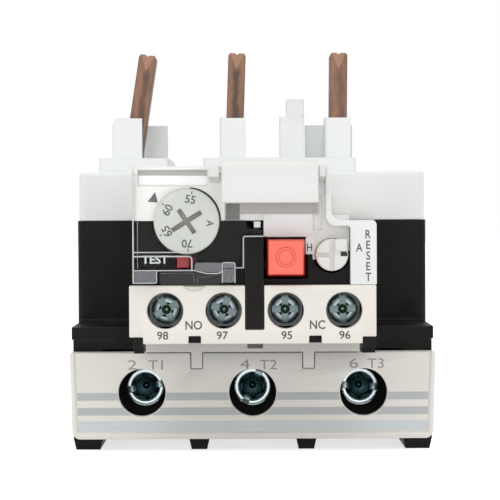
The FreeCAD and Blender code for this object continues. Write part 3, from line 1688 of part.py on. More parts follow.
def dial_cam():
    """A spiral cam on the dial's shaft: its radius changes evenly with the angle of the dial."""
    size = SIZES
    low = math.radians(-75)
    high = math.radians(137)
    centre = FreeCAD.Vector(size["dial_x"], size["cam_front_y"], size["dial_z"])

    def on_cam(angle):
        radius = size["cam_radius"] - size["cam_rise"] * angle
        return centre + FreeCAD.Vector(radius * math.cos(angle), 0, radius * math.sin(angle))

    stops = [on_cam(low + (high - low) * n / 8) for n in range(9)]
    spiral = [Part.Arc(*stops[n : n + 3]) for n in range(0, 8, 2)]
    middle = (low + high) / 2 + math.pi
    far = centre + FreeCAD.Vector(3.2 * math.cos(middle), 0, 3.2 * math.sin(middle))
    closing = [Part.LineSegment(on_cam(high), far), Part.LineSegment(far, on_cam(low))]
    face = Part.Face(Part.Wire([piece.toShape() for piece in spiral + closing]))
    plate = face.extrude(FreeCAD.Vector(0, size["cam_thick"], 0))
    bore = Part.makeCylinder(
        size["dial_shaft"] + 0.02, size["cam_thick"] + 2, centre - FreeCAD.Vector(0, 1, 0), FreeCAD.Vector(0, 1, 0)
    )
    cam = doc.addObject("Part::Feature", "cam_plate")
    cam.Shape = plate.cut(bore)
    keep("dial_cam", cam)


def adjusting_slide():
    """The follower of the cam: it carries the dial's setting across to the trip lever."""
    nose = "(dial_x + cam_radius + 0.35)"
    tip = "(hub_x - hub_radius - 0.9)"
    front = "(cam_front_y + 0.1)"
    outline = [
        (nose, front),
        ("rocker_x + 5.2", front),
        ("rocker_x + 5.2", "hub_y - 1.2"),
        (tip, "hub_y - 1.2"),
        (tip, "hub_y + 1.2"),
        ("rocker_x + 3.2", "hub_y + 1.2"),
        ("rocker_x + 3.2", f"{front} + 2.6"),
        (nose, f"{front} + 2.6"),
    ]
    keep("adjusting_slide", prism("adjusting_plate", "XY", outline, ("dial_z + 0.4", "dial_z + 2")))


def test_slider():
    """The red test slider: its head shows in a slot and its foot slides behind the front wall."""
    behind_wall = "(module_face_y + front_wall)"
    head = block(
        "test_head",
        ("test_left_x", "test_right_x"),
        ("test_face_y", f"{behind_wall} + 1"),
        ("test_low_z", "test_high_z"),
    )
    foot = block(
        "test_foot",
        ("test_left_x - 2", "test_right_x + test_foot"),
        (f"{behind_wall} + run_gap", f"{behind_wall} + 1.8"),
        ("test_low_z - 1", "test_high_z + 0.5"),
    )
    keep("test_slider", join("test_whole", head, foot))


def spring(label, start, length, radius, turns):
    """A coil spring from straight runs of square wire, ten to a turn, placed at start along an axis."""
    wire = SIZES["spring_wire"]
    rise = (length - 2 * wire) / turns
    path = []
    for step in range(10 * turns + 1):
        angle = math.radians(36 * step)
        path.append(FreeCAD.Vector(radius * math.cos(angle), radius * math.sin(angle), wire + rise * step / 10))
    corners = [path[0] + FreeCAD.Vector(x * wire, 0, z * wire) for x, z in ((-1, -1), (1, -1), (1, 1), (-1, 1))]
    section = Part.makePolygon(corners + corners[:1])
    place, direction = start
    coil = doc.addObject("Part::Feature", f"{label}_coil")
    coil.Shape = Part.makePolygon(path).makePipeShell([section], True, False, 1)
    turn = FreeCAD.Rotation(FreeCAD.Vector(0, 0, 1), FreeCAD.Vector(*AXES[direction]))
    coil.Placement = FreeCAD.Placement(FreeCAD.Vector(*place), turn)
    keep(label, coil)


def springs():
    """Return springs of the test slider, the stop button and the reset plunger."""
    size = SIZES
    behind_wall = size["module_face_y"] + size["front_wall"]
    foot_end = size["test_right_x"] + size["test_foot"]
    spring(
        "test_spring",
        ((foot_end + 0.1, behind_wall + 1.2, (size["test_low_z"] + size["test_high_z"]) / 2), "X"),
        size["test_spring_length"],
        0.65,
        4,
    )
    spring(
        "stop_spring",
        (
            (
                (size["stop_left_x"] + size["stop_right_x"]) / 2,
                size["stop_back_y"] + 0.1,
                (size["stop_low_z"] + size["stop_high_z"]) / 2,
            ),
            "Y",
        ),
        size["guide_front_y"] - size["stop_back_y"] - 0.2,
        size["stem_radius"] + 0.55,
        4,
    )
    collar_back = size["knob_back_y"] + 0.2 + 1.0
    spring(
        "reset_spring",
        ((size["knob_x"], collar_back + 0.1, size["knob_z"]), "Y"),
        size["guide_front_y"] - collar_back - 0.2,
        size["plunger_radius"] + 0.45,
        3,
    )


def stop_button():
    """The coral stop button: a flared block with a shallow ring in its face, on a round stem."""
    flare = doc.addObject("Part::Wedge", "stop_wedge")
    for prop, text in {
        "Ymin": "0",
        "Ymax": "stop_flare_y - stop_face_y",
        "Xmin": "0",
        "Xmax": "stop_right_x - stop_left_x",
        "Zmin": "0",
        "Zmax": "stop_high_z - stop_low_z",
        "X2min": "-stop_flare",
        "X2max": "stop_right_x - stop_left_x + 0.5",
        "Z2min": "-0.5",
        "Z2max": "stop_high_z - stop_low_z + 0.2",
        "Placement.Base.x": "stop_left_x",
        "Placement.Base.y": "stop_face_y",
        "Placement.Base.z": "stop_low_z",
    }.items():
        flare.setExpression(prop, dims(text))
    base = block(
        "stop_base",
        ("stop_left_x - stop_flare", "stop_right_x + 0.5"),
        ("stop_flare_y", "stop_back_y"),
        ("stop_low_z - 0.5", "stop_high_z + 0.2"),
    )
    centre = ("(stop_left_x + stop_right_x) / 2", "(stop_low_z + stop_high_z) / 2")
    stem = rod("stop_stem", "Y", centre, ("stop_back_y - 0.5", "stem_end_y"), "stem_radius")
    ring = cut(
        "stop_ring",
        rod(
            "stop_ring_outer", "Y", centre, ("stop_face_y - 1", "stop_face_y + stop_ring_depth"), "stop_ring_outer"
        ),
        rod("stop_ring_core", "Y", centre, ("stop_face_y - 2", "stop_face_y + 1"), "stop_ring_inner"),
    )
    keep("stop_button", cut("stop_cut", join("stop_whole", flare, base, stem), ring))


def reset_controls():
    """The reset knob, which turns between hand and automatic, in the plunger it is pushed with."""
    centre = ("knob_x", "knob_z")
    knob = rod("knob_head", "Y", centre, ("knob_face_y", "knob_back_y"), "knob_radius")
    head = chamfer("knob_edge", knob, 0.3, SIZES["knob_face_y"])
    lug = block(
        "knob_lug",
        ("knob_x + lug_x - lug_side / 2", "knob_x + lug_x + lug_side / 2"),
        ("knob_face_y - lug_out", "knob_face_y + 0.2"),
        ("knob_z + lug_z - lug_side / 2", "knob_z + lug_z + lug_side / 2"),
    )
    stem = rod("knob_shaft", "Y", centre, ("knob_back_y - 0.5", "plunger_end_y - 0.4"), "knob_stem")
    grooves = [
        block(
            "knob_groove_level",
            ("knob_x - knob_radius - 1", "knob_x + 0.4"),
            ("knob_face_y - 1", "knob_face_y + knob_groove_depth"),
            ("knob_z - knob_groove / 2", "knob_z + knob_groove / 2"),
        ),
        block(
            "knob_groove_upright",
            ("knob_x - knob_groove / 2", "knob_x + knob_groove / 2"),
            ("knob_face_y - 1", "knob_face_y + knob_groove_depth"),
            ("knob_z - knob_radius - 1", "knob_z + knob_radius + 1"),
        ),
    ]
    keep("reset_knob", cut("knob_cut", join("knob_whole", head, lug, stem), *grooves))
    collar_front = "(knob_back_y + 0.2)"
    tube = join(
        "plunger_whole",
        rod("plunger_collar", "Y", centre, (collar_front, f"{collar_front} + 1"), "plunger_collar"),
        rod("plunger_tube", "Y", centre, (collar_front, "plunger_end_y"), "plunger_radius"),
    )
    bore = rod(
        "plunger_bore",
        "Y",
        centre,
        (f"{collar_front} - 1", "plunger_end_y + 1"),
        "knob_stem + shaft_clearance",
    )
    keep("reset_plunger", cut("plunger_cut", tube, bore))


def build():
    terminal_base()
    heater_housing()
    upper_housing()
    front_housing()
    front_hood()
    terminal_cover()
    cover_bridge()
    aux_strip()
    reset_panel()
    window_cover()
    marker_flap()
    cover_hinge_pin()
    for name, step in PHASES.items():
        connection_pin(name, step)
        pin_lead(name, step)
        terminal_bar(name, step)
        bimetal(name, step)
        heater(name, step)
        clamp_cage(name, step)
        clamp_screw(name, step)
    bars = [aux_terminal(number, place) for number, place in AUX_PLACES.items()]
    keep("aux_bars", group("aux_bar_group", *bars))
    sliders()
    trip_lever()
    contact_rocker()
    current_dial()
    dial_cam()
    adjusting_slide()
    test_slider()
    stop_button()
    reset_controls()
    springs()


def check_and_export():
    """Stops on any failed feature or bad shape, then writes one STEP file for each sub-part."""
    doc.recompute()
    failed = [item.Name for item in doc.Objects if "Invalid" in item.State or "Error" in item.State]
    if failed:
        raise RuntimeError("failed features: " + ", ".join(failed))
    for label, piece in nodes.items():
        if piece.Shape.isNull() or not piece.Shape.isValid() or not piece.Shape.Solids:
            raise RuntimeError("bad shape: " + label)
    os.makedirs("parts", exist_ok=True)
    for label, piece in nodes.items():
        piece.Shape.exportStep(f"parts/{label}.step")
    print(len(nodes), "sub-parts written")


build()
check_and_export()
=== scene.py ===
import bpy
import bmesh
import json
import math
from mathutils import Matrix, Vector


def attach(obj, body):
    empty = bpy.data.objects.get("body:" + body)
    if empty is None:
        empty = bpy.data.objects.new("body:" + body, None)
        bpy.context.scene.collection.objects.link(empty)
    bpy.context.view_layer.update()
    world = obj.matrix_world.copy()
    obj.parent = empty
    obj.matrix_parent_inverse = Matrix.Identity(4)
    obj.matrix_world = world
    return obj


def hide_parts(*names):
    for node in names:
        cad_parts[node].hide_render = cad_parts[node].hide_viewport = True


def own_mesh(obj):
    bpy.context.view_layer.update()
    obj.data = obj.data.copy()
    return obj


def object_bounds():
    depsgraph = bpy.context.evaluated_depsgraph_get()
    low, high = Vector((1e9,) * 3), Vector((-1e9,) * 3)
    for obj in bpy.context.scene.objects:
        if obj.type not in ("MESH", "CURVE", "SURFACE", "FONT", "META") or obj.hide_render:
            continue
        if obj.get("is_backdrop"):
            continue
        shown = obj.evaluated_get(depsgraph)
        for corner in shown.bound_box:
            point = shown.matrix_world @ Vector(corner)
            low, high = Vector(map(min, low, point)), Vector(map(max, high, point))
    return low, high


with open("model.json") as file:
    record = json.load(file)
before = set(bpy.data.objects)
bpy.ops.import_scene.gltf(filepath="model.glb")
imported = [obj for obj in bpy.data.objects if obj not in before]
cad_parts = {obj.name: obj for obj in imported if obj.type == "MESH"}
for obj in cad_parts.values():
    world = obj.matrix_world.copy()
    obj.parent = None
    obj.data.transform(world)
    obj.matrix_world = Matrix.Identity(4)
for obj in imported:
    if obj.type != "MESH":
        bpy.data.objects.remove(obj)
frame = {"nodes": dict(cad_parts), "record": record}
cad_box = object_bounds()
scene = bpy.context.scene

# ---------------- black casing
# Terminal base and heater housing: glass-filled polyamide, injection moulded with a spark-eroded
# grain and clipped together. The arrises are painted pale grey, partly as wear from handling and
# partly as a painted highlight where they catch the light, and the flat faces carry faint scuffs.

MM = 0.001


def put(tree, kind, sockets=None, **settings):
    """One node of a shader or geometry tree: each socket gets a link or a plain value."""
    node = tree.nodes.new(kind)
    for label, value in settings.items():
        setattr(node, label, value)
    for label, value in (sockets or {}).items():
        if isinstance(value, bpy.types.NodeSocket):
            tree.links.new(value, node.inputs[label])
        else:
            node.inputs[label].default_value = value
    return node


def maths(tree, operation, *values):
    """The result of one arithmetic node."""
    return put(tree, "ShaderNodeMath", dict(enumerate(values)), operation=operation).outputs["Value"]


def ramp(tree, value, span=(0, 1), result=(0, 1)):
    """A number that runs over result while value runs over span, and stays at its ends outside."""
    ends = {"From Min": span[0], "From Max": span[1], "To Min": result[0], "To Max": result[1]}
    return put(tree, "ShaderNodeMapRange", {"Value": value, **ends}).outputs["Result"]


def spot(tree):
    """The place on the piece in its own coordinates."""
    return put(tree, "ShaderNodeTexCoord").outputs["Object"]


def noise(tree, place, scale, detail, rough=0.5):
    """Even noise about 0.5, with finer layers as the detail asks."""
    sockets = {"Vector": place, "Scale": scale, "Detail": detail, "Roughness": rough}
    return put(tree, "ShaderNodeTexNoise", sockets).outputs["Fac"]


def name_inputs(tree, inputs):
    """The named inputs of a node group: the kind of each follows from its first value."""
    for label, value in inputs.items():
        kind = {float: "Float", int: "Int", tuple: "Vector"}[type(value)]
        if kind == "Vector" and len(value) == 4:
            kind = "Color"
        label = label.replace("_", " ")
        tree.interface.new_socket(label, in_out="INPUT", socket_type=f"NodeSocket{kind}").default_value = value


def open_group(name, **inputs):
    """A shader group with its named inputs, and the outputs of its input node."""
    group = bpy.data.node_groups.new(name, "ShaderNodeTree")
    name_inputs(group, inputs)
    return group, group.nodes.new("NodeGroupInput").outputs


def close_group(group, **results):
    """Names the outputs of a shader group: each is (kind, the socket it comes from)."""
    end = group.nodes.new("NodeGroupOutput")
    for label, (kind, source) in results.items():
        group.interface.new_socket(label, in_out="OUTPUT", socket_type=f"NodeSocket{kind}")
        group.links.new(source, end.inputs[label])
    return group


def moulded_grain():
    """Grain of the mould's face, with a slow drift of the colour and of the gloss."""
    group, given = open_group(
        "moulded_grain", Color=(0.5, 0.5, 0.5, 1), Mottle=0.04, Grain_per_m=7000.0, Roughness=0.45, Spread=0.08
    )
    place = spot(group)
    grain = noise(group, place, given["Grain per m"], 3)
    drift = ramp(group, noise(group, place, 120, 5, 0.6), (0, 1), (-1, 1))
    shade = maths(group, "MULTIPLY_ADD", drift, given["Mottle"], 1)
    tint = put(group, "ShaderNodeVectorMath", {0: given["Color"], "Scale": shade}, operation="SCALE")
    gloss = maths(group, "MULTIPLY_ADD", drift, given["Spread"], given["Roughness"])
    return close_group(group, Color=("Color", tint.outputs[0]), Roughness=("Float", gloss), Height=("Float", grain))


def worn_and_lit_edges():
    """Mask of the arrises, for wear and a painted highlight: where the rounded normal leaves the face's own, broken
    up by noise.
    """
    group, given = open_group("worn_and_lit_edges", Width=0.0003, Breakup=0.5)
    rounded = put(group, "ShaderNodeBevel", {"Radius": given["Width"]}, samples=6)
    face = put(group, "ShaderNodeNewGeometry")
    match = put(
        group, "ShaderNodeVectorMath", {0: rounded.outputs[0], 1: face.outputs["Normal"]}, operation="DOT_PRODUCT"
    )
    arris = ramp(group, match.outputs["Value"], (0.995, 0.8))
    gate = ramp(group, noise(group, spot(group), 700, 5), (0.4, 0.6))
    kept = put(group, "ShaderNodeMix", {"Factor": given["Breakup"], "A": 1.0, "B": gate})
    mask = maths(group, "MULTIPLY", arris, kept.outputs["Result"])
    return close_group(group, Mask=("Float", mask))


def handling_scuffs():
    """Mask of fine scratches and smudges left by fingers and screwdrivers."""
    group, given = open_group("handling_scuffs", Amount=0.3)
    place = spot(group)
    slant = put(group, "ShaderNodeMapping", {"Vector": place, "Rotation": (0.3, 0.6, 0.2), "Scale": (2600, 700, 240)})
    scratch = ramp(group, noise(group, slant.outputs[0], 1, 2), (0.62, 0.72))
    smudge = ramp(group, noise(group, place, 260, 4, 0.65), (0.45, 0.7))
    mask = maths(group, "MULTIPLY", maths(group, "MAXIMUM", scratch, smudge), given["Amount"])
    return close_group(group, Mask=("Float", mask))


grain_effect = moulded_grain()
edge_wear_and_highlight = worn_and_lit_edges()
scuff_effect = handling_scuffs()


def effect(tree, group, **values):
    """Places a shader group in a material with this material's own values."""
    node = put(tree, "ShaderNodeGroup", node_tree=group)
    for label, value in values.items():
        node.inputs[label.replace("_", " ")].default_value = value
    return node


def behind(tree, near, far, result=(0, 1)):
    """A mask on the piece's own Y, in mm: the first result in front of near, the second beyond far."""
    apart = put(tree, "ShaderNodeSeparateXYZ", {0: spot(tree)})
    return ramp(tree, apart.outputs["Y"], (near * MM, far * MM), result)


def blank(name, **shader):
    """A material with its Principled shader's own constant sockets set."""
    material = bpy.data.materials.new(name)
    material.use_nodes = True
    surface = material.node_tree.nodes["Principled BSDF"]
    for label, value in shader.items():
        surface.inputs[label.replace("_", " ")].default_value = value
    return material, material.node_tree, surface


def mixed(tree, mask, under, over):
    """The colour over laid on the colour under by a mask."""
    return put(tree, "ShaderNodeMix", {"Factor": mask, 6: under, 7: over}, data_type="RGBA").outputs[2]


def coated(tree, surface, color, gloss, height, bump, depth, soft=0):
    """Ends a material with its colour, gloss and relief; its depth and the soft arris are in mm."""
    relief = put(tree, "ShaderNodeBump", {"Strength": bump, "Distance": depth * MM, "Height": height})
    if soft:
        rounded = put(tree, "ShaderNodeBevel", {"Radius": soft * MM}, samples=6)
        tree.links.new(rounded.outputs[0], relief.inputs["Normal"])
    for label, source in (("Base Color", color), ("Roughness", gloss), ("Normal", relief.outputs[0])):
        if source is not None:
            tree.links.new(source, surface.inputs[label])


def moulding(
    name, color, rough=0.4, mottle=0.02, grain=6000, bump=0.06, arris_wear_and_highlight=None, scuff=0.1, area=None, soft=0, **shader
):
    """A moulded plastic.

    arris_wear_and_highlight is (colour, width in mm, break-up) of the pale arrises, painted partly as
    wear and partly as a highlight; area lays a second colour on it, and soft is the radius in mm of an
    arris that only the shading shows.
    """
    material, tree, surface = blank(name, **shader)
    skin = effect(
        tree, grain_effect, Color=(*color, 1), Mottle=mottle, Grain_per_m=grain, Roughness=rough, Spread=0.05
    )
    worn = effect(tree, scuff_effect, Amount=scuff)
    final = skin.outputs["Color"]
    if area:
        final = area(tree, final)
    # The arrises are painted pale, partly as wear and partly as a painted highlight.
    if arris_wear_and_highlight:
        arris = effect(tree, edge_wear_and_highlight, Width=arris_wear_and_highlight[1] * MM, Breakup=arris_wear_and_highlight[2])
        final = mixed(tree, arris.outputs["Mask"], final, (*arris_wear_and_highlight[0], 1))
    gloss = maths(tree, "MULTIPLY_ADD", worn.outputs["Mask"], 0.25, skin.outputs["Roughness"])
    coated(tree, surface, final, gloss, skin.outputs["Height"], bump, 0.05, soft)
    return material


body_of = {node: body for body, nodes in frame["record"]["behaviour"]["bodies"].items() for node in nodes}


def finished(piece, material, body, smooth=30):
    """Material, shading and body of a new piece, which is a plain mesh by now."""
    piece.data.materials.clear()
    piece.data.materials.append(material)
    piece.data.polygons.foreach_set("use_smooth", [True] * len(piece.data.polygons))
    piece.data.set_sharp_from_angle(angle=math.radians(smooth))
    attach(piece, body)
    return piece


def placed(name, data):
    """A new object of the scene, still at the origin."""
    piece = bpy.data.objects.new(name, data)
    scene.collection.objects.link(piece)
    return piece


def baked(piece):
    """The same piece with its modifiers or its text made one plain mesh."""
    shape = bpy.data.meshes.new_from_object(piece.evaluated_get(bpy.context.evaluated_depsgraph_get()))
    name = piece.name
    if piece.type == "MESH":
        piece.modifiers.clear()
        piece.data = shape
        return piece
    bpy.data.objects.remove(piece)
    return placed(name, shape)


def worked(mesh, change):
    """Opens a mesh for editing, makes the change and writes it back."""
    work = bmesh.new()
    work.from_mesh(mesh)
    change(work)
    work.to_mesh(mesh)
    work.free()
    return mesh


def simplified(merge, degenerate):
    """A change that merges vertices and makes each flat face one polygon; distances in mm."""

    def change(work):
        bmesh.ops.remove_doubles(work, verts=work.verts, dist=merge * MM)
        bmesh.ops.dissolve_degenerate(work, dist=degenerate * MM, edges=work.edges)
        bmesh.ops.dissolve_limit(work, angle_limit=math.radians(1), verts=work.verts, edges=work.edges)

    return change


def rounded_arris(piece, width, steps, angle=32):
    """A bevel of the arrises that turn by more than an angle, width in mm."""
    arris = piece.modifiers.new("arris", "BEVEL")
    arris.width = width * MM
    arris.segments = steps
    arris.limit_method = "ANGLE"
    arris.angle_limit = math.radians(angle)
    return arris


def eased(node, material, ease=0.2, steps=2):
    """Stands for a CAD node: its own shape with really rounded arrises."""
    piece = placed(node + "_skin", worked(frame["nodes"][node].data.copy(), simplified(0.002, 0.001)))
    arris = rounded_arris(piece, ease, steps)
    arris.use_clamp_overlap = False
    arris.miter_outer = "MITER_ARC"
    finished(baked(piece), material, body_of[node])
    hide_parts(node)


def dress(material, *nodes):
    """A new material on CAD nodes whose shape is right."""
    for node in nodes:
        for slot in frame["nodes"][node].material_slots:
            slot.material = material


black_polyamide = moulding(
    "black_polyamide", (0.0065, 0.0055, 0.005), rough=0.44, mottle=0.25, bump=0.35, scuff=0.5,
    arris_wear_and_highlight=((0.05, 0.05, 0.052), 0.35, 0.55), soft=0.25, Specular_IOR_Level=0.14,
)
dress(black_polyamide, "terminal_base", "heater_housing")

# ---------------- power terminals
# Box clamps of folded steel and copper bars bent from strip. The cages are zinc plated, the bars
# bare copper that has gone brown, and both lie in the dark of the three cable bays.


def plating_stain():
    """Colour and gloss of a metal surface: clouds of stain and fine drawn or tumbled lines."""
    group, given = open_group(
        "plating_stain", Clean=(0.5, 0.5, 0.5, 1), Stain=(0.3, 0.3, 0.3, 1), Amount=0.5,
        Cloud_scale=(700, 700, 700), Line_scale=(2500, 2500, 2500), Roughness=0.3,
    )
    place = spot(group)
    wide = put(group, "ShaderNodeMapping", {"Vector": place, "Scale": given["Cloud scale"]})
    gate = ramp(group, noise(group, wide.outputs[0], 1, 6, 0.6), (0.42, 0.68), (0, given["Amount"]))
    color = mixed(group, gate, given["Clean"], given["Stain"])
    fine = put(group, "ShaderNodeMapping", {"Vector": place, "Scale": given["Line scale"]})
    line = noise(group, fine.outputs[0], 1, 3)
    gloss = maths(group, "ADD", ramp(group, line, (0, 1), (-0.08, 0.12)), given["Roughness"])
    return close_group(group, Color=("Color", color), Roughness=("Float", gloss), Height=("Float", line))


stain_effect = plating_stain()


def bare_metal(
    name, clean, stain, amount=0.5, clouds=(700, 700, 700), lines=(2500, 2500, 2500), rough=0.3, bump=0.15, area=None
):
    """A metal with stains and fine lines; area may lay a further colour on it and give a height."""
    material, tree, surface = blank(name, Metallic=1)
    skin = effect(
        tree, stain_effect, Clean=(*clean, 1), Stain=(*stain, 1), Amount=amount, Cloud_scale=clouds,
        Line_scale=lines, Roughness=rough,
    )
    color, height = skin.outputs["Color"], skin.outputs["Height"]
    if area:
        color, height = area(tree, color, height)
    coated(tree, surface, color, skin.outputs["Roughness"], height, bump, 0.04)
    return material


SIDES = {"left": -1, "middle": 0, "right": 1}
brown_copper = bare_metal("brown_copper", (0.36, 0.175, 0.105), (0.12, 0.075, 0.055), 0.75, rough=0.5, bump=0.4)
cage_zinc = bare_metal("cage_zinc", (0.42, 0.48, 0.48), (0.2, 0.25, 0.25), 0.6, rough=0.32)
for side in SIDES:
    dress(brown_copper, f"terminal_bar_{side}", f"pin_lead_{side}")
    eased(f"clamp_cage_{side}", cage_zinc, 0.25, 3)

# ---------------- clamp screws
# Three M6 screws, cold headed in steel and zinc plated with a blue passivation: a hexagon socket
# with a countersunk mouth, and a slot across the head. Each stands at its own angle.

SCREW_Z = 11.4
CLAMP_PITCH = 21.2


def open_geometry(name, **inputs):
    """A geometry tree with its named inputs, and the outputs of its input node."""
    tree = bpy.data.node_groups.new(name, "GeometryNodeTree")
    tree.interface.new_socket("Geometry", in_out="INPUT", socket_type="NodeSocketGeometry")
    name_inputs(tree, inputs)
    tree.interface.new_socket("Material", in_out="INPUT", socket_type="NodeSocketMaterial")
    tree.interface.new_socket("Geometry", in_out="OUTPUT", socket_type="NodeSocketGeometry")
    return tree, tree.nodes.new("NodeGroupInput").outputs


def moved(tree, shape, **by):
    """A shape of a geometry tree after a Translation, Rotation or Scale."""
    return put(tree, "GeometryNodeTransform", {"Geometry": shape, **by}).outputs["Geometry"]


def triple(tree, x=0.0, y=0.0, z=0.0):
    """A vector made of three numbers of a tree."""
    return put(tree, "ShaderNodeCombineXYZ", {"X": x, "Y": y, "Z": z}).outputs["Vector"]


def cuboid(tree, size):
    """A block of that size about the origin."""
    return put(tree, "GeometryNodeMeshCube", {"Size": size}).outputs["Mesh"]


def close_geometry(tree, given, shape):
    """Ends a geometry tree in Realize Instances and Set Material; the tree works in millimetres."""
    metres = moved(tree, shape, Scale=(MM, MM, MM))
    real = put(tree, "GeometryNodeRealizeInstances", {"Geometry": metres})
    painted = put(tree, "GeometryNodeSetMaterial", {"Geometry": real.outputs[0], "Material": given["Material"]})
    joined = put(tree, "GeometryNodeJoinGeometry")
    tree.links.new(painted.outputs[0], joined.inputs[0])
    tree.links.new(given["Geometry"], joined.inputs[0])
    end = tree.nodes.new("NodeGroupOutput")
    tree.links.new(joined.outputs[0], end.inputs["Geometry"])
    return tree


def turned_rod(tree, radius, top, length, sides=64, tip=None):
    """A rod or cone on the screw's axis, from the height top down by length."""
    if tip is None:
        middle = maths(tree, "SUBTRACT", top, maths(tree, "MULTIPLY", length, 0.5))
        rod = put(tree, "GeometryNodeMeshCylinder", {"Vertices": sides, "Radius": radius, "Depth": length})
        return moved(tree, rod.outputs["Mesh"], Translation=triple(tree, z=middle))
    cone = put(
        tree, "GeometryNodeMeshCone", {"Vertices": sides, "Radius Top": radius, "Radius Bottom": tip, "Depth": length}
    )
    low = triple(tree, z=maths(tree, "SUBTRACT", top, length))
    return moved(tree, cone.outputs["Mesh"], Translation=low)


def combined(tree, operation, first, *others):
    """An exact boolean of meshes inside a geometry tree."""
    node = put(tree, "GeometryNodeMeshBoolean", operation=operation, solver="EXACT")
    if operation == "DIFFERENCE":
        tree.links.new(first, node.inputs["Mesh 1"])
    else:
        others = (first, *others)
    for other in others:
        tree.links.new(other, node.inputs["Mesh 2"])
    return node.outputs["Mesh"]


UPRIGHT = (math.pi / 2, 0, 0)


def faced_front(tree, given, shape):
    """Turns a screw built upwards so that its head faces the front, by its turn, at its place."""
    spun = moved(tree, shape, Rotation=triple(tree, z=maths(tree, "RADIANS", given["Turn"])))
    return moved(tree, spun, Rotation=UPRIGHT, Translation=given["Place"])


def socket_screw():
    """Cylinder head with a chamfer, a countersunk hexagon socket, one slot right across, and the shank."""
    tree, given = open_geometry(
        "socket_screw", Place=(0, 0, 0), Turn=0.0, Head_radius=3.7, Ring_radius=3.55, Head_length=5.0,
        Mouth_radius=2.95, Hex_radius=2.35, Hex_depth=3.8, Slot_width=1.25, Slot_depth=1.1, Shank_radius=2.95,
        Shank_length=10.2,
    )
    head = turned_rod(tree, given["Head radius"], 0.0, given["Head length"], 72)
    spread = maths(tree, "ADD", given["Ring radius"], given["Head length"])
    chamfer = turned_rod(tree, given["Ring radius"], 0.0, given["Head length"], 72, tip=spread)
    shank_top = maths(tree, "SUBTRACT", 0.5, given["Head length"])
    shank = turned_rod(tree, given["Shank radius"], shank_top, given["Shank length"], 48)
    mouth = turned_rod(tree, given["Mouth radius"], 0.02, 0.9, 48, tip=2.3)
    hex_length = maths(tree, "ADD", given["Hex depth"], 0.5)
    hexagon = moved(tree, turned_rod(tree, given["Hex radius"], 0.5, hex_length, 6), Rotation=(0, 0, math.pi / 6))
    drill = turned_rod(tree, 1.1, -3.0, 1.6, 32, tip=0.3)
    slot_size = triple(tree, x=9.0, y=given["Slot width"], z=maths(tree, "MULTIPLY", given["Slot depth"], 2.0))
    solid = combined(tree, "UNION", combined(tree, "INTERSECT", head, chamfer), shank)
    cut = combined(tree, "DIFFERENCE", solid, mouth, hexagon, drill, cuboid(tree, slot_size))
    return close_geometry(tree, given, faced_front(tree, given, cut))


def grown(name, tree, values, material, path=None):
    """A piece made by a geometry tree, once for each set of values; path is a line for it to follow."""
    mesh = bpy.data.meshes.new(name)
    if path:
        edges = [(n, n + 1) for n in range(len(path) - 1)]
        mesh.from_pydata([tuple(c * MM for c in point) for point in path], edges, [])
    piece = placed(name, mesh)
    for stage in values:
        growth = piece.modifiers.new(tree.name, "NODES")
        growth.node_group = tree
        for item in tree.interface.items_tree:
            if item.in_out == "INPUT" and item.name in stage:
                growth[item.identifier] = stage[item.name]
            elif item.in_out == "INPUT" and item.name == "Material":
                growth[item.identifier] = material
    return piece


def arrised(piece, width, steps):
    """A grown piece made a clean plain mesh with rounded arrises."""
    piece = baked(piece)
    worked(piece.data, simplified(0.004, 0.004))
    rounded_arris(piece, width, steps, angle=25)
    piece = baked(piece)

    def tidied(work):
        bmesh.ops.triangulate(work, faces=work.faces)
        bmesh.ops.dissolve_degenerate(work, dist=0.002 * MM, edges=work.edges)
        bmesh.ops.recalc_face_normals(work, faces=work.faces)

    worked(piece.data, tidied)
    return piece


def screwed_in(node, tree, place, turn, material, body, width, steps=2):
    """A screw made by its tree, in place of the CAD one."""
    screw = grown(f"{node}_turned", tree, [{"Place": place, "Turn": float(turn)}], material)
    finished(arrised(screw, width, steps), material, body)
    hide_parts(node)


def painted_recess_shade(face_y, face_tone, recess_shade_color, start=0.12, reach=0.5, middle=None, core=None):
    """Gives a head's face its own tone and paints shade into its recess: a half shade, middle, just behind
    the face, and a deep shade from start to reach behind it.

    core is (pitch, height, radius) of heads in a row, whose middles get the painted deep shade from just
    behind the face.
    """

    def area(tree, color, height):
        # Painted shade: the recess darkens with its depth on the piece's own Y.
        dark = behind(tree, face_y + start, face_y + reach)
        face = behind(tree, face_y + 0.1, face_y + 0.2)
        if core:
            pitch, height_of_row, radius = core
            apart = put(tree, "ShaderNodeSeparateXYZ", {0: spot(tree)})
            wrapped = maths(tree, "WRAP", apart.outputs["X"], pitch / 2 * MM, -pitch / 2 * MM)
            lifted = maths(tree, "SUBTRACT", apart.outputs["Z"], height_of_row * MM)
            flat = triple(tree, x=wrapped, y=lifted)
            away = put(tree, "ShaderNodeVectorMath", {0: flat}, operation="LENGTH").outputs["Value"]
            inside = ramp(tree, away, ((radius + 0.08) * MM, (radius - 0.08) * MM))
            dark = maths(tree, "MAXIMUM", dark, maths(tree, "MULTIPLY", inside, face))
        ring = mixed(tree, 0.5, color, (*face_tone, 1))
        below = mixed(tree, face, ring, (*(middle or face_tone), 1))
        return mixed(tree, dark, below, (*recess_shade_color, 1)), height

    return area


HEAD_FACE = -12.4
screw_tree = socket_screw()
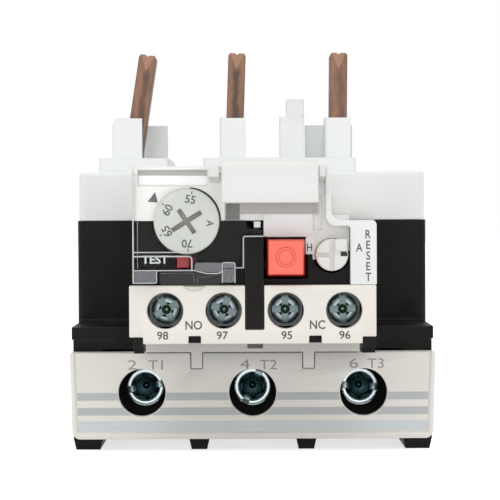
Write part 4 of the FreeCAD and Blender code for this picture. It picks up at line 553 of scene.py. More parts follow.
# The clamp heads carry painted shade: a half shade on the recess walls and a deep shade in the socket.
clamp_zinc = bare_metal(
    "clamp_zinc", (0.62, 0.7, 0.72), (0.5, 0.6, 0.62), 0.5, rough=0.25,
    area=painted_recess_shade(
        HEAD_FACE, (0.62, 0.7, 0.74), (0.024, 0.055, 0.062), 1.2, 1.5, (0.3, 0.36, 0.36), (CLAMP_PITCH, SCREW_Z, 2.6)
    ),
)
for side, turn in (("left", 10), ("middle", 65), ("right", -3)):
    place = (SIDES[side] * CLAMP_PITCH, HEAD_FACE, SCREW_Z)
    node = f"clamp_screw_{side}"
    screwed_in(node, screw_tree, place, turn, clamp_zinc, node, 0.07)

# ---------------- thermal trip
# Bimetal strips wound with heater ribbon, the two bars they push and the differential lever. The
# strips are rolled bimetal, the bars and levers natural acetal mouldings, all inside the casing.

bimetal_strip = bare_metal(
    "bimetal_strip", (0.42, 0.4, 0.37), (0.25, 0.2, 0.17), 0.5, lines=(3000, 3000, 200), rough=0.35
)
heater_ribbon = bare_metal("heater_ribbon", (0.3, 0.26, 0.24), (0.1, 0.09, 0.1), 0.7, rough=0.45)
natural_acetal = moulding("natural_acetal", (0.62, 0.60, 0.54), rough=0.38, bump=0.08, mottle=0.03)
for side in SIDES:
    dress(bimetal_strip, f"bimetal_{side}")
    dress(heater_ribbon, f"heater_{side}")
dress(natural_acetal, "main_slider", "differential_slider", "differential_lever", "trip_lever")

# ---------------- white top
# Upper housing with the sleeves round the pins and the hook for the contactor: satin white
# polycarbonate, clipped to the heater housing. It stays clean, with only faint smudges.

white_plastic = moulding("white_polycarbonate", (0.885, 0.905, 0.9), rough=0.38, mottle=0.01, scuff=0.15, soft=0.3)
dress(white_plastic, "upper_housing")

# ---------------- connection pins
# Copper strip folded on itself and hammered flat. A dark seam runs down the front below a V at the
# top painted lighter as a highlight of the chamfered tip, the sides are painted darker as shade, the
# top edge dips a little, and each pin leans on its stud by its own angle.


def pin_copper(side, lean, seam, streak):
    """Copper of one pin; the seam, the painted V highlight at the top and the painted shade of the sides follow the
    pin's own leaning axis.
    """

    def area(tree, color, height):
        place = spot(tree)
        stud = ((SIDES[side] * 21.8 - 3.85) * MM, 9.5 * MM, 50 * MM)
        sockets = {"Vector": place, "Location": stud, "Rotation": (0, math.radians(lean), 0), "Scale": (MM, MM, MM)}
        own = put(tree, "ShaderNodeMapping", sockets, vector_type="TEXTURE")
        apart = put(tree, "ShaderNodeSeparateXYZ", {0: own.outputs[0]})
        across, along = apart.outputs["X"], apart.outputs["Z"]
        off_axis = maths(tree, "ABSOLUTE", across)
        wander = noise(tree, own.outputs[0], 0.45, 3, 0.6)
        bend = maths(tree, "MULTIPLY_ADD", wander, 1.6, -0.8 - seam)
        away = maths(tree, "ABSOLUTE", maths(tree, "ADD", across, bend))
        line = ramp(tree, away, (0.95, 0.3), (0, streak))
        dark = maths(tree, "MULTIPLY", line, ramp(tree, along, (26.6, 24.8)))
        shaded = mixed(tree, dark, color, (0.105, 0.072, 0.062, 1))
        wedge = maths(tree, "MULTIPLY_ADD", along, 0.42, -25.2 * 0.42)
        # A V at the top is painted lighter: a painted highlight of the chamfered tip.
        v_highlight = ramp(tree, maths(tree, "SUBTRACT", wedge, off_axis), (0.0, 0.25), (0, 0.7))
        v_lit = mixed(tree, v_highlight, shaded, (0.36, 0.215, 0.155, 1))
        # Both sides of the pin are painted darker as shade.
        edge = ramp(tree, off_axis, (1.45, 1.8), (0, 0.55))
        side_shaded = mixed(tree, edge, v_lit, (0.12, 0.095, 0.085, 1))
        return side_shaded, maths(tree, "MULTIPLY_ADD", dark, -0.8, height)

    return bare_metal(
        f"pin_copper_{side}", (0.265, 0.15, 0.102), (0.15, 0.1, 0.08), 0.9, clouds=(900, 900, 160),
        lines=(2600, 2600, 200), rough=0.48, bump=0.5, area=area,
    )


for side, lean, seam, streak in (("left", 8.6, 0.35, 0.75), ("middle", 2.0, 0.0, 0.95), ("right", 0.6, 0.4, 0.45)):
    eased(f"pin_{side}", pin_copper(side, lean, seam, streak), 0.12, 3)

# ---------------- control module
# Black lower half of the module with the pockets for the auxiliary terminals, the same grained
# polyamide as the base. A stepped piece of white front belongs to the hood above it.

dress(black_polyamide, "front_housing")
dress(brown_copper, "aux_bars", "contact_bridges")
dress(natural_acetal, "contact_rocker", "dial_cam", "adjusting_slide", "reset_plunger")

# ---------------- auxiliary screws
# Four M3.5 pan-head screws on captive square washers, zinc plated. The cross recess runs into a
# slot right across the head, and its deep middle is painted a darker greenish shade.


def cross_screw():
    """Domed head with a slot across it, a shorter slot crossing that, a deep middle and a shank."""
    tree, given = open_geometry(
        "cross_screw", Place=(0, 0, 0), Turn=0.0, Head_radius=2.65, Head_length=2.4, Dome_radius=15.0, Slot_width=1.2,
        Slot_depth=0.85, Cross_length=4.6, Shank_radius=1.7, Shank_length=6.4,
    )
    head = turned_rod(tree, given["Head radius"], 0.0, given["Head length"], 56)
    ball = put(tree, "GeometryNodeMeshUVSphere", {"Segments": 64, "Rings": 48, "Radius": given["Dome radius"]})
    low = triple(tree, z=maths(tree, "MULTIPLY", given["Dome radius"], -1.0))
    dome = moved(tree, ball.outputs["Mesh"], Translation=low)
    shank_top = maths(tree, "SUBTRACT", 0.4, given["Head length"])
    shank = turned_rod(tree, given["Shank radius"], shank_top, given["Shank length"], 40)
    depth = maths(tree, "MULTIPLY", given["Slot depth"], 2.0)
    long_slot = cuboid(tree, triple(tree, x=given["Slot width"], y=7.0, z=depth))
    short_slot = cuboid(tree, triple(tree, x=given["Cross length"], y=given["Slot width"], z=depth))
    middle = turned_rod(tree, 1.5, 0.1, 1.9, 28, tip=0.25)
    solid = combined(tree, "UNION", combined(tree, "INTERSECT", head, dome), shank)
    cut = combined(tree, "DIFFERENCE", solid, long_slot, short_slot, middle)
    return close_geometry(tree, given, faced_front(tree, given, cut))


AUX_Z = 27.9
AUX_FACE = -41.6
AUX_X = {"98": -15.95, "97": -5.3, "95": 6.0, "96": 16.65}
cross_tree = cross_screw()
# The aux heads carry painted shade: a half shade on the slot walls and a deep greenish shade in the middle.
aux_zinc = bare_metal(
    "aux_zinc", (0.36, 0.41, 0.44), (0.24, 0.29, 0.31), 0.7, clouds=(900, 900, 900), rough=0.3, bump=0.2,
    area=painted_recess_shade(AUX_FACE, (0.24, 0.28, 0.31), (0.12, 0.165, 0.13), 0.9, 1.6, (0.13, 0.17, 0.17)),
)
washer_zinc = bare_metal("washer_zinc", (0.17, 0.19, 0.19), (0.08, 0.1, 0.1), 0.6, rough=0.34)
for number, turn in (("98", 28), ("97", -18), ("95", 0), ("96", 2)):
    place = (AUX_X[number], AUX_FACE, AUX_Z)
    screwed_in(f"aux_screw_{number}", cross_tree, place, turn, aux_zinc, f"screw_{number}", 0.09, 3)
    dress(washer_zinc, f"aux_washer_{number}")

# ---------------- setting dial
# Pale grey acetal disc with a moulded cross recess for a screwdriver. The amperes and their ticks
# are pad printed in dark grey, and the floor of the recess is painted a darker brownish shade.

DIAL = (-12.0, 44.2)


def dial_recess_shade(tree, color):
    """Painted shade on the floor of the cross recess, darker than the face."""
    floor = maths(tree, "MULTIPLY", behind(tree, -46.45, -45.9), behind(tree, -45.65, -45.5, (1, 0)))
    return mixed(tree, floor, color, (0.25, 0.245, 0.205, 1))


dial_plastic = moulding("dial_grey", (0.56, 0.575, 0.535), rough=0.42, mottle=0.015, area=dial_recess_shade)
eased("current_dial", dial_plastic, 0.1)


def printed(name, color, rough=0.5):
    """Pad-printed ink, thin and a little uneven."""
    return moulding(name, color, rough=rough, mottle=0.08, grain=9000, bump=0.04, scuff=0)


def oblong(low_x, low_z, high_x, high_z):
    """Corners of an upright rectangle."""
    return [(low_x, low_z), (high_x, low_z), (high_x, high_z), (low_x, high_z)]


def plate(name, corners, face_y, thick, material, body="casing", round_by=0):
    """A thin flat shape on a front face; corners in X and Z, its own face at face_y, millimetres."""
    work = bmesh.new()
    face = work.faces.new([work.verts.new((x * MM, face_y * MM, z * MM)) for x, z in corners])
    pushed = bmesh.ops.extrude_face_region(work, geom=[face])
    back = [item for item in pushed["geom"] if isinstance(item, bmesh.types.BMVert)]
    bmesh.ops.translate(work, verts=back, vec=(0, thick * MM, 0))
    bmesh.ops.recalc_face_normals(work, faces=work.faces)
    if round_by:
        upright = [e for e in work.edges if abs((e.verts[0].co - e.verts[1].co).y) > 0.9 * thick * MM]
        bmesh.ops.bevel(work, geom=upright, offset=round_by * MM, segments=4, affect="EDGES")
    mesh = bpy.data.meshes.new(name)
    work.to_mesh(mesh)
    work.free()
    return finished(placed(name, mesh), material, body)


CAP_SHARE = 0.72


def lettering(
    name, words, x, z, cap, face_y, material, body="casing", turn=0.0, width=1.0, bold=0.02
):
    """Printed words on a front face, cap high, centred on x and z, millimetres."""
    curve = bpy.data.curves.new(name, "FONT")
    curve.body = words
    curve.align_x = "CENTER"
    curve.align_y = "CENTER"
    curve.size = cap * MM / CAP_SHARE
    curve.offset = bold * cap * MM
    curve.extrude = 0.01 * MM
    curve.resolution_u = 4
    piece = baked(placed(name, curve))
    corners = [vert.co for vert in piece.data.vertices]
    middle_x = (min(co.x for co in corners) + max(co.x for co in corners)) / 2
    middle_y = (min(co.y for co in corners) + max(co.y for co in corners)) / 2
    place = Matrix.Translation((x * MM, (face_y - 0.01) * MM, z * MM))
    upright = Matrix.Rotation(math.radians(-turn), 4, "Y") @ Matrix.Rotation(math.pi / 2, 4, "X")
    centred = Matrix.Diagonal((width, 1, 1, 1)) @ Matrix.Translation((-middle_x, -middle_y, 0))
    piece.data.transform(place @ upright @ centred)

    def merged(work):
        bmesh.ops.remove_doubles(work, verts=work.verts, dist=0.001 * MM)
        bmesh.ops.recalc_face_normals(work, faces=work.faces)

    worked(piece.data, merged)
    return finished(piece, material, body)


def in_a_row(tree, shape, rotation, count, start=(0, 0, 0), step=(0, 0, 0)):
    """Copies of a shape, each turned by its rotation, at even steps from a start."""
    row = put(tree, "GeometryNodeMeshLine", {"Count": count, "Start Location": start, "Offset": step})
    sockets = {"Points": row.outputs["Mesh"], "Instance": shape, "Rotation": rotation}
    return put(tree, "GeometryNodeInstanceOnPoints", sockets).outputs[0]


def ring_of_ticks():
    """Equal ticks on an arc, from a first angle by an even step."""
    tree, given = open_geometry(
        "ring_of_ticks", Middle=(0, 0, 0), Count=4, First=79.2, Step=64.5, Radius=5.3, Size=(0.6, 0.2, 0.02)
    )
    number = put(tree, "GeometryNodeInputIndex").outputs[0]
    degrees = maths(tree, "MULTIPLY_ADD", number, given["Step"], given["First"])
    spin = triple(tree, z=maths(tree, "RADIANS", degrees))
    far = moved(tree, cuboid(tree, given["Size"]), Translation=triple(tree, x=given["Radius"]))
    ring = in_a_row(tree, far, spin, given["Count"])
    faced = moved(tree, ring, Rotation=UPRIGHT, Translation=given["Middle"])
    return close_geometry(tree, given, faced)


def around(middle, radius, angle):
    """The point at an angle in degrees on a circle."""
    turn = math.radians(angle)
    return middle[0] + radius * math.cos(turn), middle[1] + radius * math.sin(turn)


dark_ink = printed("dark_grey_ink", (0.075, 0.078, 0.085))
DIAL_FACE = -46.6
for words, angle in (("55", 80), ("60", 149), ("65", 207), ("70", 271)):
    x, z = around(DIAL, 4.05, angle)
    lettering(
        f"dial_number_{words}", words, x, z, 1.5, DIAL_FACE, dark_ink, "dial", turn=angle - 90, width=0.98
    )
lettering(
    "dial_unit", "A", DIAL[0] + 4.3, DIAL[1] - 0.4, 1.3, DIAL_FACE, dark_ink, "dial", turn=-95, width=0.95
)
ticks = grown("dial_ticks", ring_of_ticks(), [{"Middle": (DIAL[0], DIAL_FACE - 0.005, DIAL[1])}], dark_ink)
finished(baked(ticks), dark_ink, "dial")

# ---------------- test slider and springs
# Dark red slider head in its slot, with TEST printed beside it. Its return spring and the ones
# behind the stop button and the reset plunger are wound from round steel wire.

test_red = moulding("test_red", (0.3, 0.022, 0.02), rough=0.38, mottle=0.12, bump=0.08)
eased("test_slider", test_red, 0.12)


def wire_along(tree, line, radius, sides):
    """A round wire along a curve, closed at both ends."""
    ring = put(tree, "GeometryNodeCurvePrimitiveCircle", {"Resolution": sides, "Radius": radius})
    sockets = {"Curve": line, "Profile Curve": ring.outputs["Curve"], "Fill Caps": True}
    return put(tree, "GeometryNodeCurveToMesh", sockets).outputs[0]


def wound_spring():
    """A coil of round wire on the axis that Rotation turns it to."""
    tree, given = open_geometry(
        "wound_spring", Start=(0, 0, 0), Rotation=(0, 0, 0), Length=4.0, Radius=1.0, Turns=4.0, Wire_radius=0.22
    )
    rise = maths(tree, "SUBTRACT", given["Length"], maths(tree, "MULTIPLY", given["Wire radius"], 2.0))
    coil = put(
        tree, "GeometryNodeCurveSpiral",
        {
            "Resolution": 24, "Rotations": given["Turns"], "Start Radius": given["Radius"],
            "End Radius": given["Radius"], "Height": rise,
        },
    ).outputs[0]
    tube = wire_along(tree, coil, given["Wire radius"], 10)
    raised = moved(tree, tube, Translation=triple(tree, z=given["Wire radius"]))
    aimed = moved(tree, raised, Rotation=given["Rotation"], Translation=given["Start"])
    return close_geometry(tree, given, aimed)


spring_tree = wound_spring()
spring_steel = bare_metal("spring_steel", (0.45, 0.46, 0.47), (0.25, 0.25, 0.25), 0.4, rough=0.28)
STOP = (6.05, 37.6)
KNOB = (14.45, 38.0)
BACK_STOP = (0, -37.5, 0)
ALONG_X = (0, math.pi / 2, 0)
ALONG_Y = (-math.pi / 2, 0, 0)
for name, start, way, length, radius, turns, joint, axis, anchor, keep in (
    ("test_spring", (-10.0, -42.0, 36.75), ALONG_X, 4.0, 0.7, 4.0, "test_slide", (1, 0, 0), (-6.0, 0, 0), 0.75),
    ("stop_spring", (STOP[0], -42.5, STOP[1]), ALONG_Y, 4.9, 2.05, 4.0, "stop_push", (0, 1, 0), BACK_STOP, 0.4),
    ("reset_spring", (KNOB[0], -41.8, KNOB[1]), ALONG_Y, 4.1, 2.45, 3.0, "reset_push", (0, 1, 0), BACK_STOP, 0.46),
):
    sizes = {"Start": start, "Rotation": way, "Length": length, "Radius": radius, "Turns": turns}
    coil = finished(baked(grown(f"{name}_wire", spring_tree, [sizes], spring_steel)), spring_steel, "casing")
    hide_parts(name)
    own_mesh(coil)

MODULE_FACE = -45.0
white_ink = printed("white_ink", (0.72, 0.73, 0.73))
lettering(
    "test_word", "TEST", -17.85, 37.2, 1.45, MODULE_FACE, white_ink, width=1.1, bold=0.035
)

# ---------------- stop button
# Coral ABS block, flared to the left and below, with one shallow ring moulded in its polished face.
# Its flanks are painted a deep red for the shade of the pocket they sit in.


def button_flank_shade(tree, color):
    """Painted shade: the flared flanks behind the face are coloured a deep red."""
    return mixed(tree, behind(tree, -49.0, -48.2), color, (0.6, 0.02, 0.015, 1))


coral = moulding("coral_abs", (1.0, 0.168, 0.108), rough=0.3, mottle=0.02, bump=0.05, area=button_flank_shade)
eased("stop_button", coral, 0.25, 3)


def arc(middle, radius, first, last, steps=32):
    """Points on an arc between two angles in degrees."""
    return [around(middle, radius, first + (last - first) * n / steps) for n in range(steps + 1)]


def band_of_arc(middle, inner, outer, first, last, shift=(0, 0)):
    """Corners of a flat band between two arcs; shift moves the outer arc's middle."""
    far = arc((middle[0] + shift[0], middle[1] + shift[1]), outer, first, last)
    return far + arc(middle, inner, first, last)[::-1]


for half, first in (("upper", 0), ("lower", 180)):
    ring = band_of_arc(STOP, 1.36, 1.74, first, first + 180)
    plate(f"stop_ring_{half}", ring, -49.14, 0.2, coral, "stop")

# ---------------- reset knob
# Ivory knob with a driver groove across and down its face and a raised lug that points to H or A.
# It turns in the plunger and is pushed in with it.

knob_plastic = moulding("knob_ivory", (0.80, 0.785, 0.75), rough=0.3, mottle=0.02, bump=0.05)
eased("reset_knob", knob_plastic, 0.12)
# A flat black for painted shade in notches and gaps.
painted_shade_black = moulding("painted_shade_black", (0.01, 0.009, 0.009), rough=0.6, mottle=0.2)
# A black plate paints the shade inside the notch beside the knob's lug.
notch = [(16.0, 37.75), (17.25, 37.75), (17.3, 38.3), (16.9, 38.62), (16.0, 38.62)]
plate("knob_notch_shade", notch, -47.83, 0.06, painted_shade_black, "knob")

# ---------------- white hood and reset panel
# Upper half of the module, with the bare bed of the nameplate, and the strip at its right that
# carries RESET. Both are satin white mouldings, a touch warmer than the housing behind them.

hood_plastic = moulding("hood_polycarbonate", (0.80, 0.80, 0.772), rough=0.36, mottle=0.012, soft=0.2)
panel_plastic = moulding("panel_polycarbonate", (0.86, 0.87, 0.865), rough=0.34, mottle=0.012)
dress(hood_plastic, "front_hood")
# A grey plate paints the shadow along the top of the nameplate's bed.
bed = [(-21.3, 52.62), (-7.6, 52.5), (-7.6, 53.85), (-20.8, 53.85)]
bed_shadow_grey = moulding("bed_shadow_grey", (0.44, 0.43, 0.405), rough=0.45, mottle=0.05)
plate("nameplate_bed_shadow", bed, MODULE_FACE + 0.6, 0.08, bed_shadow_grey, round_by=0.08)
eased("reset_panel", panel_plastic, 0.2, 3)
strip = oblong(-20.75, 50.85, -8.4, 52.75)
plate("nameplate_strip", strip, MODULE_FACE + 0.62, 0.1, panel_plastic, round_by=0.15)
# A warm grey plate paints the flap's shadow on the label below it.
flap_shadow_grey = moulding("flap_shadow_grey", (0.42, 0.39, 0.36), rough=0.4, mottle=0.06)
plate("label_bed", oblong(-2.3, 45.5, 12.0, 47.6), MODULE_FACE - 0.03, 0.05, flap_shadow_grey)
label_white = moulding("label_white", (0.80, 0.785, 0.785), rough=0.3, mottle=0.02)
plate("label_strip", oblong(2.05, 41.42, 11.05, 45.45), MODULE_FACE - 0.1, 0.12, label_white, round_by=0.1)
TILE_FACE = MODULE_FACE - 0.12
plate("hand_tile", oblong(9.74, 38.1, 11.25, 41.2), TILE_FACE, 0.14, panel_plastic, round_by=0.08)
lettering("hand_mark", "H", 10.42, 39.35, 1.4, TILE_FACE, dark_ink, width=0.8)
PANEL_FACE = -47.4
lettering("auto_mark", "A", 19.4, 39.3, 1.5, PANEL_FACE, dark_ink, width=0.82)
for index, letter in enumerate("RESET"):
    lettering(f"reset_letter_{index}", letter, 21.05, 41.72 - 1.94 * index, 1.55, PANEL_FACE, dark_ink, width=0.8)
x, z = around(DIAL, 7.35, 144)
pointer = [(x - 1.2, z - 0.72), (x + 0.68, z - 0.87), (x + 0.18, z + 1.08)]
plate("setting_pointer", pointer, MODULE_FACE - 0.02, 0.03, printed("pointer_ink", (0.1, 0.11, 0.12)))
plate("knob_collar", band_of_arc(KNOB, 3.03, 3.5, 12, 196), MODULE_FACE - 0.05, 0.3, hood_plastic)
# A dark crescent paints the shadow in the gap at the upper right of the dial.
gap = band_of_arc(DIAL, 5.6, 6.02, -12, 86, shift=(0.24, 0.2))
plate("dial_gap_shadow", gap, MODULE_FACE - 0.03, 0.05, painted_shade_black)
# A flat dark grey for painted shade in recesses, also the colour of the clear cover's gate marks.
shade_grey = moulding("shade_grey", (0.16, 0.15, 0.14), rough=0.5, mottle=0.15)
# A dark grey plate paints the shade inside a slot of the hood.
window = oblong(-4.8, 44.45, -2.3, 47.4)
plate("hood_slot_shade", window, MODULE_FACE - 0.02, 0.04, shade_grey)

# ---------------- cream front
# Terminal cover, the band keyed to it by two tabs and the auxiliary strip: smooth warm-white
# mouldings. Three grey stripes, the terminal numbers and the contact marks are pad printed.

cream_plastic = moulding("cream_moulding", (0.86, 0.835, 0.775), rough=0.42, mottle=0.012, scuff=0.15)
strip_plastic = moulding("strip_moulding", (0.87, 0.835, 0.765), rough=0.42, mottle=0.012, scuff=0.15)
eased("terminal_cover", cream_plastic, 0.25)
dress(cream_plastic, "cover_bridge")
eased("aux_strip", strip_plastic, 0.2)


def printed_stripe():
    """One stripe across the cover, cut clear of the three driver holes."""
    tree, given = open_geometry(
        "printed_stripe", Low=0.0, High=1.0, Half_width=33.8, Face=0.0, Ink=0.03, Hole_pitch=CLAMP_PITCH,
        Hole_height=SCREW_Z, Hole_radius=4.72,
    )
    wide = maths(tree, "MULTIPLY", given["Half width"], 2.0)
    tall = maths(tree, "SUBTRACT", given["High"], given["Low"])
    middle = maths(tree, "MULTIPLY", maths(tree, "ADD", given["High"], given["Low"]), 0.5)
    bar = cuboid(tree, triple(tree, x=wide, y=given["Ink"], z=tall))
    raised = moved(tree, bar, Translation=triple(tree, y=given["Face"], z=middle))
    left_hole = maths(tree, "MULTIPLY", given["Hole pitch"], -1.0)
    row_start = triple(tree, x=left_hole, y=given["Face"], z=given["Hole height"])
    row_step = triple(tree, x=given["Hole pitch"])
    disc = put(tree, "GeometryNodeMeshCylinder", {"Vertices": 64, "Radius": given["Hole radius"], "Depth": 2.0})
    holes = in_a_row(tree, disc.outputs["Mesh"], UPRIGHT, 3, row_start, row_step)
    real = put(tree, "GeometryNodeRealizeInstances", {"Geometry": holes})
    return close_geometry(tree, given, combined(tree, "DIFFERENCE", raised, real.outputs[0]))


COVER_FACE = -27.15
# A dark plate paints the shade inside the band's notch.
band_notch = oblong(-0.98, 19.82, 1.98, 20.78)
plate("band_notch_shade", band_notch, COVER_FACE + 0.1, 0.1, shade_grey)
stripe_ink = printed("stripe_ink", (0.50, 0.525, 0.525))
low_ink = printed("low_stripe_ink", (0.66, 0.70, 0.72))
stripe_tree = printed_stripe()
for name, ink, heights in (
    ("cover_stripes", stripe_ink, ((9.92, 11.39), (7.07, 8.54))),
    ("low_stripe", low_ink, ((4.0, 5.97),)),
):
    values = [{"Low": low, "High": high, "Face": COVER_FACE} for low, high in heights]
    finished(baked(grown(name, stripe_tree, values, ink)), ink, "casing")


def moulded_bead():
    """A round bead along the edges of the piece's own path, with its corners rounded."""
    tree, given = open_geometry("moulded_bead", Bead_radius=0.1, Corner_radius=0.3)
    sized = moved(tree, given["Geometry"], Scale=(1 / MM, 1 / MM, 1 / MM))
    line = put(tree, "GeometryNodeMeshToCurve", {"Mesh": sized})
    soft = put(
        tree, "GeometryNodeFilletCurve",
        {"Curve": line.outputs[0], "Count": 5, "Radius": given["Corner radius"]}, mode="POLY",
    )
    return close_geometry(tree, given, wire_along(tree, soft.outputs[0], given["Bead radius"], 8))


bead_tree = moulded_bead()


def bead_line(name, points, face_y, radius, corner, material, body):
    """A bead along points in X and Z on a front face, millimetres."""
    values = {"Bead radius": radius, "Corner radius": corner}
    path = [(x, face_y, z) for x, z in points]
    finished(baked(grown(name, bead_tree, [values], material, path)), material, body, smooth=60)


# The seam between the band and the cover is a thin dark bead of painted shade; printed() only gives it a thin flat
# look.
seam_shade = printed("seam_shade", (0.1, 0.09, 0.08))
seam = [(-20.3, 19.05), (-11.8, 19.05), (-11.8, 15.95), (-9.6, 15.95), (-9.6, 19.05)]
seam += [(-x, z) for x, z in seam[::-1]]
bead_line("cover_seam", seam, COVER_FACE + 0.02, 0.08, 0.12, seam_shade, "casing")
pale_ink = printed("pale_grey_ink", (0.33, 0.32, 0.315))
for kind, width, marks in (
    ("number", 1.5, (("2", -23.02, 16.75), ("4", -1.47, 16.8), ("6", 19.33, 16.9))),
    ("mark", 1.18, (("T1", -18.55, 16.7), ("T2", 3.0, 16.7), ("T3", 23.5, 16.85))),
):
    for mark, x, z in marks:
        name = f"power_{kind}_{mark}"
        lettering(name, mark, x, z, 1.9, COVER_FACE, pale_ink, width=width, bold=0)
STRIP_FACE = -47.5
for number, x in (("98", -16.42), ("97", -5.56), ("95", 6.18), ("96", 16.73)):
    name = f"aux_number_{number}"
    lettering(name, number, x, 23.42, 1.47, STRIP_FACE, dark_ink, width=1.03)
for word, x in (("NO", -10.76), ("NC", 11.78)):
    lettering(f"aux_mark_{word}", word, x, 25.3, 1.6, STRIP_FACE, dark_ink, width=0.9)

# ---------------- clear cover
# Clear polycarbonate lid over the dial and the test slider, moulded in one piece with its frosted
# feet. A frame is moulded round TEST, and the light that the polished arrises and the frame catch is
# painted on as thin pale beads of painted highlight.

# The index is kept far below that of real polycarbonate, so that the lid hardly bends the light.
clear, clear_tree, clear_surface = blank(
    "clear_polycarbonate", Transmission_Weight=1, IOR=1.08, Base_Color=(0.985, 0.99, 0.99, 1)
)
haze = effect(clear_tree, scuff_effect, Amount=0.25)
haze_gloss = ramp(clear_tree, haze.outputs["Mask"], (0, 0.5), (0.02, 0.12))
clear_tree.links.new(haze_gloss, clear_surface.inputs["Roughness"])
eased("window_cover", clear, 0.03, 1)

WINDOW_FACE = -49.5
# These pale beads paint the highlights that the lid's edges catch.
lit_edge_paint = moulding("painted_edge_highlight", (0.58, 0.60, 0.62), rough=0.3, mottle=0.25, scuff=0.3)
soft_edge_highlight = moulding("soft_edge_highlight", (0.70, 0.69, 0.68), rough=0.35, mottle=0.15)
for name, points, radius, corner, look in (
    ("left_edge", [(-21.62, 53.6), (-21.62, 33.0)], 0.12, 0.3, soft_edge_highlight),
    ("test_frame", [(-21.5, 37.85), (-11.0, 37.85), (-11.0, 35.35)], 0.13, 0.6, lit_edge_paint),
    ("test_rail", [(-21.5, 38.6), (-10.55, 38.6)], 0.1, 0.3, lit_edge_paint),
    ("foot_line", [(-21.5, 35.3), (-10.6, 35.3), (-8.4, 34.75), (-6.2, 34.75), (-5.5, 35.1)], 0.1, 0.8, lit_edge_paint),
    ("left_foot", [(-21.5, 33.05), (-17.4, 33.05), (-17.4, 35.2)], 0.1, 0.3, lit_edge_paint),
    ("right_foot", [(-5.5, 33.0), (-5.5, 36.7), (-3.2, 36.7), (-3.2, 33.0)], 0.09, 0.3, lit_edge_paint),
    ("step_edge", [(-1.66, 35.7), (-1.66, 41.45), (2.0, 41.45)], 0.11, 0.4, lit_edge_paint),
    ("low_edge", [(-1.66, 35.75), (-3.1, 35.75)], 0.08, 0.2, lit_edge_paint),
    ("right_step", [(11.25, 41.5), (11.25, 44.95), (12.8, 44.95), (12.8, 51.0)], 0.06, 0.2, soft_edge_highlight),
):
    bead_line(f"window_{name}", points, WINDOW_FACE + 0.05, radius, corner, look, "window")


def frosted_patch(name, color, alpha):
    """A sandblasted patch of the clear cover: partly see-through, with a fine sparkle."""
    material, tree, surface = blank(name, Alpha=alpha, Roughness=0.6)
    skin = effect(tree, grain_effect, Color=(*color, 1), Mottle=0.25, Grain_per_m=5000, Roughness=0.6, Spread=0.1)
    coated(tree, surface, skin.outputs["Color"], None, skin.outputs["Height"], 0.5, 0.1)
    return material


foot_frost = frosted_patch("foot_frost", (0.3, 0.31, 0.34), 0.4)
strip_frost = frosted_patch("strip_frost", (0.34, 0.34, 0.36), 0.38)
for name, corners, look in (
    ("left_foot_patch", oblong(-21.45, 33.1, -17.45, 35.15), foot_frost),
    ("right_foot_patch", oblong(-5.4, 33.1, -3.3, 35.6), foot_frost),
    ("finger_strip", oblong(-10.45, 35.0, -5.6, 36.7), strip_frost),
    ("finger_strip_right", oblong(-5.4, 35.7, -3.3, 36.6), strip_frost),
):
    plate(f"window_{name}", corners, WINDOW_FACE - 0.04, 0.05, look, "window", 0.12)
for name, x, z in (("left", -19.2, 34.1), ("right", -4.35, 33.9)):
    disc = arc((x, z), 0.5, 0, 345, 23)
    plate(f"window_gate_mark_{name}", disc, WINDOW_FACE - 0.07, 0.04, shade_grey, "window")
gloss_black = moulding("gloss_black", (0.008, 0.007, 0.007), rough=0.16, mottle=0.2, Specular_IOR_Level=0.3)
notch_edge_highlight = moulding("notch_edge_highlight", (0.12, 0.115, 0.115), rough=0.25, mottle=0.4)
NOTCH_FACE = MODULE_FACE - 1.6
notch = oblong(-17.0, 32.62, -5.7, 34.9)
plate("finger_notch", notch, NOTCH_FACE, 1.58, gloss_black, round_by=0.3)
# Grey beads paint the highlights along the notch's glossy edges.
for name, points in (
    ("left", [(-16.9, 34.75), (-10.7, 34.75), (-10.7, 32.8)]),
    ("right", [(-10.1, 32.8), (-10.1, 34.2), (-8.6, 33.9), (-7.2, 34.3), (-5.8, 34.75)]),
):
    bead_line(f"finger_notch_{name}", points, NOTCH_FACE, 0.08, 0.4, notch_edge_highlight, "casing")

# ---------------- marker flap
# White flap for the customer's label, hooked on the same steel pin as the clear cover. It hides
# most of the bed behind it, and a faint warm line of painted shade runs along the fold near its top.

flap_plastic = moulding("flap_white", (0.84, 0.845, 0.825), rough=0.3, mottle=0.01)
eased("marker_flap", flap_plastic, 0.18, 3)
dress(flap_plastic, "trip_flag")
dress(spring_steel, "cover_hinge_pin")
# The fold line is painted shade in the crease; printed() only gives it a thin flat look.
fold_shade = printed("fold_crease_shade", (0.68, 0.60, 0.47))
bead_line("flap_fold_line", [(-5.35, 54.9), (11.75, 54.9)], -51.12, 0.06, 0.1, fold_shade, "flap")

# ---------------- studio
# A white table and white surroundings under large soft lamps, the strongest above and in front, so
# that the module shades the cover below it. The camera stands level with the module.


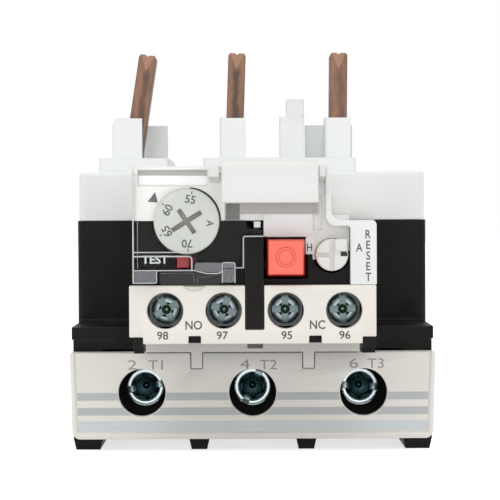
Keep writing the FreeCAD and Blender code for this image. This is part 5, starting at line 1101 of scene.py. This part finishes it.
def looked_at(tree):
    """1 for rays from the camera, through glass or off a gloss, 0 for those that light the part."""
    rays = put(tree, "ShaderNodeLightPath").outputs
    direct = maths(tree, "MAXIMUM", rays["Is Camera Ray"], rays["Is Transmission Ray"])
    return maths(tree, "MAXIMUM", direct, rays["Is Glossy Ray"])


table_white, table_tree, table_surface = blank("table_white", Roughness=0.7, Emission_Color=(1, 1, 1, 1))
table_surface.inputs["Base Color"].default_value = (0.9, 0.9, 0.9, 1)
TABLE_GLOW = 0.72
SKY_LIGHT = 0.72
glow = maths(table_tree, "MULTIPLY", looked_at(table_tree), TABLE_GLOW)
table_tree.links.new(glow, table_surface.inputs["Emission Strength"])
table_mesh = bpy.data.meshes.new("table")
table_mesh.from_pydata([(-3, -2, 0), (3, -2, 0), (3, 3, 0), (-3, 3, 0)], [], [(0, 1, 2, 3)])
table_mesh.materials.append(table_white)
placed("table", table_mesh)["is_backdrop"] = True

studio = bpy.data.worlds.new("studio")
scene.world = studio
studio.use_nodes = True
sky = studio.node_tree
sky.nodes["Background"].inputs["Color"].default_value = (1, 1, 1, 1)
sky.links.new(ramp(sky, looked_at(sky), (0, 1), (SKY_LIGHT, 1)), sky.nodes["Background"].inputs["Strength"])


def lamp(name, place, aim, size, power):
    """A large soft lamp that faces its aim."""
    data = bpy.data.lights.new(name, "AREA")
    data.shape = "RECTANGLE"
    data.size, data.size_y = size
    data.energy = power
    lamp_object = placed(name, data)
    lamp_object.location = place
    lamp_object.rotation_euler = (Vector(aim) - Vector(place)).to_track_quat("-Z", "Y").to_euler()


lamp("key", (-0.1, -0.62, 0.95), (0, 0, 0.03), (0.9, 0.6), 2.6)
lamp("front_fill", (0.1, -1.5, 0.14), (0, 0, 0.03), (1.4, 0.5), 2.9)

lens = bpy.data.cameras.new("camera")
lens.sensor_width = 36
lens.lens = 158.4
lens.clip_start = 0.01
camera = placed("camera", lens)
camera.location = (-1.34 * MM, -447.5 * MM, 45.3 * MM)
camera.rotation_euler = (math.radians(90 - 0.911), math.radians(0.25), math.radians(-0.13))
scene.camera = camera
scene.view_settings.view_transform = "Standard"

sizes = {"cad": [list(corner) for corner in cad_box], "visual": [list(corner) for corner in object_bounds()]}
